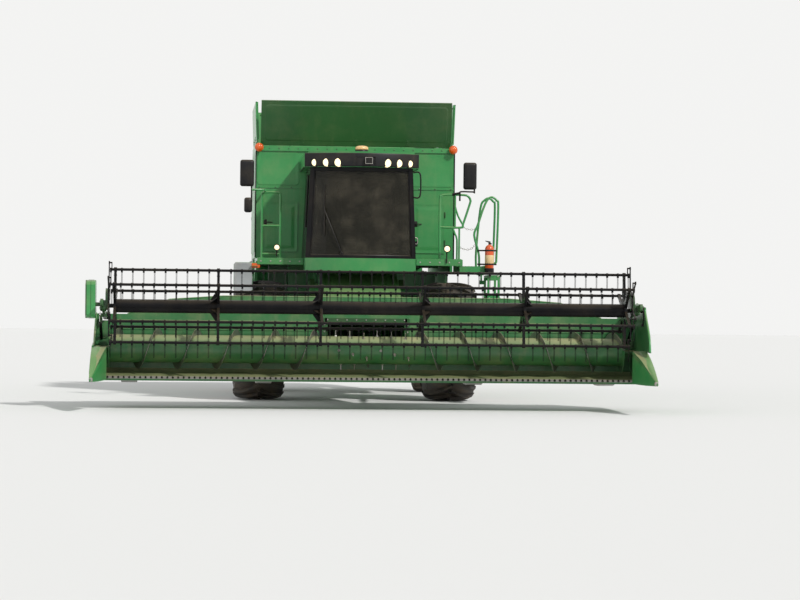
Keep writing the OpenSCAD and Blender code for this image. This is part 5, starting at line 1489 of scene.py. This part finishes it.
# A point on the reel arm: t along it from its pivot, u across it upwards
def onArm(t, u):
    pivot, axis = np.array(armLook["pivot"]), np.array(armLook["axis"])
    out = (axis - pivot) / np.linalg.norm(axis - pivot)
    return tuple(pivot + out * t + np.array([out[1], -out[0]]) * u)


# end caps, pivot caps and bolts on the arms; bearing housings with their bolts
def makeArms():
    a = armLook
    face = a["outerX"] + 0.0005
    t = np.linspace(-np.pi / 2, np.pi / 2, 9)
    end = [onArm(1.638 + 0.030 * math.cos(s), 0.0448 * math.sin(s)) for s in t]
    cap = turnedShape([(face, 0.030), (face, 0.050), (3.798, 0.046), (3.800, 0.034),
                       (3.796, 0.030)], (0, *a["pivot"]), "x", 32)
    heads = [(face, *onArm(along, 0.0)) for along in (0.25, 0.45, 0.65)]
    # the arm caps are drawn in the green darkened as painted shade
    build("armCaps", [both(plates([(end, 3.747, 3.783, "x")]), cap)], "greenShaded", "reel_arms",
          bevel=0.0015)
    build("armBolts", [both(bolts(heads, "x", 1, 0.008))], "bare", "reel_arms")
    housing = sleeve(3.7005, 3.7195, a["axis"], 0.032, 0.062, 40)
    flange = [(3.8005, *onArm(1.209 + d, u)) for d in (-0.10, 0.10) for u in (-0.045, 0.045)]
    build("carriageHousing", [both(housing)], "black", "reel_carriage")
    build("carriageBolts", [both(bolts(flange, "x", 1, 0.009))], "bare", "reel_carriage")


# the drive's shield on the right end: a rounded cover with a dished face, a seam and latches
def makeShield():
    outline = [(-4.210, 1.330), (-4.185, 1.296), (-4.120, 1.275), (-3.880, 1.275), (-3.828, 1.296),
               (-3.800, 1.340), (-3.800, 1.730), (-3.828, 1.785), (-3.880, 1.805), (-4.120, 1.805),
               (-4.182, 1.785), (-4.210, 1.740)]
    corners = np.array(outline)
    inwards = corners.mean(axis=0) - corners
    inwards /= np.linalg.norm(inwards, axis=1)[:, None]
    rings = []
    for x, inset in ((-3.8605, 0.0), (-3.880, -0.0008), (-3.980, -0.0008), (-3.990, 0.010),
                     (-3.9985, 0.030), (-3.9995, 0.060), (-3.994, 0.085), (-3.994, 0.140)):
        rings.append(onAxis("x", np.full(len(corners), x), *(corners + inwards * inset).T))
    seam = [[(-3.925, y, z) for y, z in outline + outline[:1]]]
    build("driveShield", [ringSkin(rings)], "green", "reel_carriage", smooth=30)
    # the seam is drawn in the green darkened as painted shade
    build("driveShieldSeam", [pipes(seam, 0.004, 6, 1)], "greenShaded", "reel_carriage")
    latches = [plates([block((-3.9605, -3.885), (y - 0.012, y + 0.012), (z - 0.004, z + 0.004))])
               for y, z in ((-4.05, 1.8065), (-3.95, 1.8065), (-4.0, 1.2735))]
    build("driveLatches", latches, "bare", "reel_carriage")


# points along a ram at distances from its base towards its rod's eye
def alongRam(x, base, eye, distances):
    base, way = np.array((x, *base)), np.array((0, eye[0] - base[0], eye[1] - base[1]))
    return [base + way / np.linalg.norm(way) * t for t in distances]


# ram barrels with glands and end caps; hose ports stand on them
def makeRams():
    a = armLook
    gland, mouth, foot, collar, port = alongRam(a["ramX"], a["ramBase"], a["ramEye"],
                                                (0.440, 0.4705, 0.030, 0.060, 0.080))
    parts = [tubeShape([gland, mouth], 0.0255, 24), tubeShape([foot, collar], 0.0250, 24),
             tubeShape([port, port + (0, 0.010, 0.040)], 0.008, 10)]
    build("ramGlands", [both(*parts)], "black", "reel_barrels")
    gland, mouth, foot, collar, port = alongRam(a["liftX"], a["liftBase"], a["liftEye"],
                                                (1.130, 1.1805, 0.050, 0.100, 0.140))
    parts = [tubeShape([gland, mouth], 0.052, 28), tubeShape([foot, collar], 0.051, 28),
             tubeShape([port, port + (0, 0, 0.075)], 0.012, 12)]
    build("liftGlands", [both(*parts)], "black", "lift_barrels")


makeSpiders()
makeStars()
makeArms()
makeShield()
makeRams()
print("reel made")


# sides, tank covers, hood, screen, exhaust, ladder, unloading tube and feederhouse
sideLook = dict(
    shieldX=1.560, lowPanels=((1.200, 2.560), (2.680, 4.060)),
    coverPanel=0.720, coverSide=0.620, coverLean=22.0, sideLean=2.0,
)
hoodLook = dict(half=1.430, top=3.400, screenY=2.850, screenZ=2.900)
pipeLook = dict(unloadX=1.370, exhaust=(0.700, 2.700, 0))   # the unloading tube, the exhaust
pressSteps = ((0.0, -0.002), (0.0, 0.001), (0.008, 0.008), (0.016, 0.010), (0.030, 0.010))


# pressed panels, latches and hinge leaves of both side shields
def makeShields():
    look = sideLook
    face = look["shieldX"]
    for side, name in ((1, "shield_left"), (-1, "shield_right")):
        x = side * face
        sheets = [pressed((y0, 1.550), (y1, 1.885), x, "x", side, pressSteps, 0.05)
                  for y0, y1 in look["lowPanels"]]
        sheets.append(pressed((1.120, 1.995), (4.060, 2.150), x, "x", side, pressSteps, 0.04))
        build(f"{name}Press", sheets, "green", name, smooth=30)
        latches = [pressed((y - 0.045, 1.500), (y + 0.045, 1.540), x, "x", side,
                           ((0.0, -0.001), (0.0, 0.004), (0.006, 0.010), (0.012, 0.006)), 0.012)
                   for y in (1.42, 2.45, 3.60)]
        leaves = [block(sorted((x - side * 0.002, x + side * 0.005)), (y - 0.05, y + 0.05),
                        (2.150, 2.188)) for y in np.linspace(1.25, 3.95, 5)]
        build(f"{name}Latches", [*latches, plates(leaves)], "plastic", name)


# pressing, hat ribs, rolled rim and hinge straps of a tank cover lying in its own frame: x along
# the hinge, y inward, z up the cover
def coverShape(half, height):
    sheet = pressed((-half + 0.06, 0.07), (half - 0.06, height - 0.06), -0.018, "y", -1,
                    ((0.0, -0.001), (0.004, 0.002), (0.010, 0.003), (0.030, 0.003)), 0.06)
    ribs = [([(x - 0.035, 0.0), (x - 0.018, 0.016), (x + 0.018, 0.016), (x + 0.035, 0.0)],
             0.05, height - 0.06, "z") for x in np.linspace(-half * 0.62, half * 0.62, 4)]
    rim = pipes([[(-half, -0.009, height - 0.004), (half, -0.009, height - 0.004)]], 0.011, 10, 1)
    hinges = np.linspace(-half * 0.55, half * 0.55, 3)
    straps = [block((x - 0.030, x + 0.030), (-0.0225, -0.0175), (0.012, 0.110)) for x in hinges]
    heads = [(x, -0.0226, z) for x in hinges for z in (0.05, 0.09)]
    return joinShapes([sheet, plates(ribs + straps), rim, bolts(heads, "y", -1, 0.007)])


# the four tank covers, each turned about its hinge to where it stands open
def makeCovers():
    look = sideLook
    lean, upright = look["coverLean"], look["sideLean"]
    points, faces = coverShape(1.485, look["coverPanel"])
    front = tilted(points, 1, 2, lean, (0.030, 3.975))
    rear = tilted(points * (-1, -1, 1), 1, 2, -lean, (2.280, 3.975))
    # the front cover takes the green darkened as painted shade, the rear one the plain green
    build("coverFront", [(front, faces)], "greenShaded", "flap_front", smooth=30)
    build("coverRear", [(rear, faces)], "green", "flap_rear", smooth=30)
    points, faces = coverShape(1.090, look["coverSide"])
    turned = np.stack([-points[:, 1], points[:, 0] + 1.150, points[:, 2]], -1)
    left = tilted(turned, 2, 0, upright, (4.020, 1.530))
    build("coverLeft", [(left, faces)], "green", "flap_left", smooth=30)
    build("coverRight", [(left * (-1, 1, 1), faces[:, ::-1])], "green", "flap_right", smooth=30)


# rim bolts, corner gussets, a filling auger and the levelling auger in the open tank
def makeTank():
    heads = [(x, -0.0302, 3.930) for x in np.linspace(-1.5, 1.5, 3)]
    gussets = [([(y, 3.940), (y + d * 0.14, 3.940), (y, 3.800)], x - 0.004, x + 0.004, "x")
               for x in (-1.500, 1.100) for y, d in ((0.045, 1), (2.255, -1))]
    top = (-0.10, 1.150, 3.800)
    fill = [tubeShape([(-0.40, 1.900, 2.500), (-0.25, 1.500, 3.100), top], 0.125, 24),
            tubeShape([(-0.13, 1.220, 3.670), top], 0.140, 24)]
    turns = np.linspace(0, 7 * 2 * np.pi, 7 * 24 + 1)[:, None]
    r = np.array([0.024, 0.120])[None]
    y = np.broadcast_to(0.45 + turns / turns[-1] * 1.35, (turns.size, 2))
    blade = np.stack([0.30 + r * np.cos(turns), y, 2.560 + r * np.sin(turns)], -1)
    level = [gridShape(blade), tubeShape([(0.30, 0.045, 2.560), (0.30, 2.200, 2.560)], 0.024, 12)]
    build("tankGussets", [plates(gussets)], "green")
    build("fillAuger", fill, "green")
    build("levelAuger", level, "bare", smooth=60)
    ribs = [block((-1.5625, -1.5585), (y - 0.03, y + 0.03), (2.26, 3.88))
            for y in (0.55, 1.15, 1.75)]
    sides = [pressed((y0, 2.290), (y1, 3.250), -1.560, "x", -1, pressSteps, 0.06)
             for y0, y1 in ((0.090, 0.500), (0.600, 1.100), (1.200, 1.700), (1.800, 2.240))]
    sides += [pressed((y0, 2.290), (y1, 3.180), 1.560, "x", 1, pressSteps, 0.06)
              for y0, y1 in ((0.820, 1.450), (1.540, 2.240))]
    build("tankPress", sides + [plates(ribs)], "green", smooth=30)
    # the rim bolt heads are drawn in the green darkened as painted shade
    build("tankHeads", [bolts(heads, "y", -1, 0.009)], "greenShaded")


# pressed panels, louvres, rear lamps in their housings and a grip at each rear corner
def makeHood():
    look = hoodLook
    half = look["half"]
    sheets = [pressed(low, high, side * half, "x", side, pressSteps, 0.06)
              for low, high in (((4.190, 1.900), (4.880, 2.330)), ((3.480, 2.300), (3.960, 3.060)))
              for side in (-1, 1)]
    sheets.append(pressed((-1.280, 1.850), (1.280, 2.300), 5.000, "y", 1, pressSteps, 0.06))
    sheets += [pressed((x - 0.40, 2.400), (x + 0.40, 3.180), look["top"], "z", 1, pressSteps, 0.06)
               for x in (-0.90, 0.0)]
    build("hoodPress", sheets, "green", smooth=30)
    blades = [([(1.392, z + 0.044), (1.396, z + 0.0445), (1.438, z + 0.006), (1.434, z + 0.001)],
               2.600, 3.400, "y") for z in np.arange(2.500, 3.101, 0.090)]
    build("hoodLouvres", [plates(blades)], "black")
    grip = [[(half + 0.004, 4.30, 2.450), (half + 0.040, 4.32, 2.460), (half + 0.040, 4.55, 2.460),
             (half + 0.004, 4.57, 2.450)]]
    lamps, shells = [], []
    for x in (-1.20, 1.20):
        lamps.append(pressed((x - 0.060, 1.990), (x + 0.060, 2.110), 5.012, "y", 1,
                             ((0.0, -0.004), (0.0, 0.014), (0.008, 0.020), (0.03, 0.022)), 0.02))
        shells.append(pressed((x - 0.075, 1.975), (x + 0.075, 2.125), 5.000, "y", 1,
                              ((0.0, -0.002), (0.0, 0.018), (0.006, 0.022), (0.014, 0.014)), 0.03))
    build("rearLamps", lamps, "orangeLens")
    build("rearShells", shells + [both(pipes(grip, 0.009, 10, 4))], "plastic")


# wire rings and ribs of the rotary screen, with its rim and hub cap
def makeScreen():
    look = hoodLook
    y, z = look["screenY"], look["screenZ"]
    wires = []
    for r in np.arange(0.070, 0.386, 0.0225):
        wires.append(tubeShape(aroundX(-1.5415, y, z, r, np.linspace(0, 360, 49)), 0.0022, 5))
    for spoke in zip(*(aroundX(-1.5425, y, z, r, np.arange(0, 360, 15)) for r in (0.045, 0.388))):
        wires.append(tubeShape(spoke, 0.0030, 5))
    rim = turnedShape([(-1.520, 0.4005), (-1.520, 0.405), (-1.544, 0.404), (-1.546, 0.398),
                       (-1.544, 0.388), (-1.541, 0.388)], (0, y, z), "x", 72)
    cap = turnedShape([(-1.550, 0.052), (-1.556, 0.048), (-1.558, 0.0265), (-1.551, 0.0265)],
                      (0, y, z), "x", 32)
    build("screenWires", wires, "bare", "screen")
    build("screenRim", [rim, cap], "black", "screen")
    collar = turnedShape([(-1.4905, 0.462), (-1.4905, 0.440), (-1.4935, 0.436), (-1.4935, 0.425)],
                         (0, y, z), "x", 72)
    heads = aroundX(-1.4905, y, z, 0.448, np.arange(15, 360, 30))
    # the collar is drawn in the green darkened as painted shade
    build("screenCollar", [collar, bolts(heads, "x", -1, 0.008)], "greenShaded")


# silencer with coned ends and a cut pipe with a hinged rain flap
def makeExhaust():
    at = pipeLook["exhaust"]
    body = [(3.395, 0.0), (3.395, 0.072), (3.470, 0.072), (3.492, 0.096), (3.500, 0.108),
            (3.505, 0.1095), (3.790, 0.1095), (3.796, 0.108), (3.812, 0.080), (3.818, 0.072),
            (3.985, 0.072), (3.992, 0.075), (3.998, 0.073), (3.998, 0.068), (3.900, 0.067),
            (3.895, 0.0)]
    bands = [[(z - 0.014, 0.1095), (z - 0.014, 0.1135), (z + 0.014, 0.1135), (z + 0.014, 0.1095)]
             for z in (3.560, 3.730)]
    parts = [turnedShape(profile, at, "z", 48) for profile in (body, *bands)]
    flap = rod(0, 0.004, 0.078, (0, 0, 0), "z", 40)
    points = tilted(flap[0] + (0, 0.078, 0), 1, 2, 38, (2.622, 4.004))
    parts.append((points + (at[0], 0, 0), flap[1]))
    parts.append(tubeShape([(at[0] + d, 2.618, 4.002) for d in (-0.045, 0.045)], 0.007, 8))
    build("exhaustPipe", parts, "iron", replaces=["exhaust"])


# serrated treads, rolled edges and side bolts on the ladder's steps
def makeLadder():
    steps = np.arange(0.600, 1.931, 0.330)
    tooth = turnedShape([(0, 0), (0, 0.008), (0.005, 0.005), (0.005, 0)], (0, 0, 0), "z", 8)
    teeth, nose = [], []
    for z in steps:
        nose.append(tubeShape([(2.113, y, z + 0.0175) for y in (-1.465, -0.990)], 0.0165, 10))
        teeth.append(copies(tooth, [(x, y, z + 0.0348) for x in np.linspace(1.945, 2.095, 7)
                                    for y in np.linspace(-1.445, -1.010, 19)]))
    heads = [(x, -1.4703, z + 0.0175) for x in (1.955, 2.085) for z in steps]
    # the step treads are drawn in the green darkened as painted shade
    build("ladderTeeth", teeth + nose, "greenShaded", "ladder", smooth=40)
    build("ladderBolts", [bolts(heads, "y", -1, 0.009)], "bare", "ladder")


# flange bolts, seam strip, elbow ring and the rubber skirt at the spout
def makeUnloader():
    x = pipeLook["unloadX"]
    heads = [(x + 0.1755 * math.cos(a), y, 3.600 + 0.1755 * math.sin(a))
             for y in (0.930, 2.330, 3.730) for a in np.radians(np.arange(0, 360, 30))]
    build("unloadBolts", [bolts(heads, "y", 1, 0.007)], "bare", "unload_tube")
    axis = np.array([0, -math.sin(math.radians(160)), math.cos(math.radians(160))])
    top = np.array([x, 5.030, 3.700])
    skirt = tubeShape([top + axis * 0.440, top + axis * 0.519], 0.1765, 40)
    collar = turnedShape([(3.290, 0.1805), (3.290, 0.186), (3.320, 0.186), (3.320, 0.1805)],
                         (x, 0.480, 0), "z", 56)
    strip = plates([block((x - 0.008, x + 0.008), (1.000, 4.880), (3.7635, 3.7685))])
    build("unloadSkirt", [skirt], "tyre", "unload_tube")
    build("unloadBands", [collar, strip], "green", "unload_tube", smooth=30)


# A shape drawn flat, y back from the foot and z up, laid on the feederhouse's slope
def onSlope(shape):
    foot, tip = (-0.600, 1.975), (-2.755, 1.400)
    angle = math.degrees(math.atan2(foot[1] - tip[1], foot[0] - tip[0]))
    return tilted(shape[0], 1, 2, angle, foot), shape[1]


# hatches and edge strips on the feederhouse's top, ribs, bolts and hubs on its sides
def makeFeeder():
    hatch = [onSlope(pressed((-0.420, y0), (0.420, y1), 0.0, "z", 1, pressSteps, 0.05))
             for y0, y1 in ((-1.950, -1.300), (-1.150, -0.450))]
    edge = [onSlope(plates([block((x - 0.012, x + 0.012), (-2.200, -0.150), (-0.002, 0.012))]))
            for x in (-0.540, 0.540)]
    build("feederHatches", hatch + edge, "green", "header", smooth=30)
    ribs = [([(y, z), (y, z + 0.050), (-2.600, end + 0.050), (-2.600, end)], 0.5995, 0.616, "x")
            for y, z, end in ((-0.900, 1.600, 1.150), (-0.950, 1.330, 0.870))]
    build("feederRibs", [both(plates(ribs))], "green", "header", bevel=0.002)
    heads = [(0.6165, y, z) for y, z in ((-1.1, 1.60), (-1.7, 1.44), (-2.3, 1.28))]
    build("feederBolts", [both(bolts(heads, "x", 1, 0.010))], "bare", "header")
    hubs = [turnedShape([(0.600, 0), (0.600, 0.070), (0.630, 0.066), (0.634, 0.030), (0.650, 0.028),
                         (0.652, 0.0)], (0, -2.560, 1.120), "x", 32)]
    build("feederHubs", [both(*hubs)], "black", "header")


# chopper covers with belt guards, hub bolts of both axles and the hitch's pin
def makeRear():
    guards = [pressed((4.300, 1.120), (4.880, 1.560), 0.850, "x", 1,
                      ((0.0, -0.002), (0.0, 0.050), (0.010, 0.062), (0.030, 0.064)), 0.12)]
    guards.append(turnedShape([(0.912, 0.0), (0.914, 0.070), (0.926, 0.066), (0.930, 0.020),
                               (0.930, 0.0)], (0, 4.620, 1.330), "x", 32))
    # the chopper guards are drawn in the green darkened as painted shade
    build("chopperGuards", [both(*guards)], "greenShaded", smooth=30)
    heads = [(0.9145, y, z) for y in (4.36, 4.82) for z in (1.18, 1.50)]
    build("chopperBolts", [both(bolts(heads, "x", 1, 0.010))], "bare")
    drum = aroundX(1.0405, 0, 0.925, 0.225, np.arange(10, 360, 30))
    ring = turnedShape([(1.0395, 0.252), (1.0395, 0.170), (1.047, 0.168), (1.049, 0.236),
                        (1.044, 0.252)], (0, 0, 0.925), "x", 48)
    # the axle rings are drawn in the green darkened as painted shade
    build("axleRings", [both(ring)], "greenShaded")
    build("axleBolts", [both(bolts(drum, "x", 1, 0.012))], "bare")
    pin = [turnedShape([(0.556, 0), (0.556, 0.014), (0.700, 0.014), (0.702, 0.026), (0.716, 0.026),
                        (0.720, 0)], (0, 4.200, 0), "z", 24)]
    build("hitchPin", pin, "bare")


# A bottle with a pale blank label, dark foot, valve and lever, held by two straps
def makeExtinguisher():
    y = -1.546
    at = (1.943, y, 0.0)
    parts = dict(
        orange=[(2.052, 0.0), (2.052, 0.060), (2.062, 0.0665), (2.360, 0.0665), (2.385, 0.058),
                (2.405, 0.040), (2.416, 0.020), (2.424, 0.016), (2.424, 0.0)],
        label=[(2.135, 0.0667), (2.137, 0.0676), (2.258, 0.0676), (2.260, 0.0667)],
        plastic=[(1.991, 0.0), (1.991, 0.068), (1.996, 0.0715), (2.060, 0.0715), (2.064, 0.067),
                 (2.064, 0.0)],
    )
    straps = []
    for z in (2.110, 2.318):
        straps.append(turnedShape([(z, 0.0668), (z, 0.0695), (z + 0.024, 0.0695),
                                   (z + 0.024, 0.0668)], at, "z", 36))
        straps.append(plates([block((1.870, 2.016), (-1.484, -1.474), (z, z + 0.024)),
                              block((1.768, 2.062), (-1.4795, -1.4685), (z, z + 0.024)),
                              block((1.930, 1.956), (-1.484, -1.476), (z - 0.01, z + 0.034))]))
    valve = [turnedShape([(2.420, 0), (2.420, 0.017), (2.448, 0.017), (2.452, 0.011),
                          (2.466, 0.011), (2.466, 0)], at, "z", 20),
             tubeShape([(1.960, y, 2.446), (1.885, y, 2.472)], 0.007, 8),
             tubeShape([(1.960, y, 2.462), (1.880, y, 2.476)], 0.005, 8),
             tubeShape([(1.957, y, 2.436), (1.976, y, 2.430)], 0.011, 12)]
    for finish, profile in parts.items():
        shapes = [turnedShape(profile, at, "z", 40)]
        if finish == "plastic":
            shapes += valve + straps
        build(f"extinguisher{finish.title()}", shapes, finish,
              replaces=["extinguisher"] if finish == "orange" else ())


makeShields()
makeCovers()
makeExtinguisher()
makeTank()
makeHood()
makeScreen()
makeExhaust()
makeLadder()
makeUnloader()
makeFeeder()
makeRear()
print("sides, covers, hood and feederhouse made")
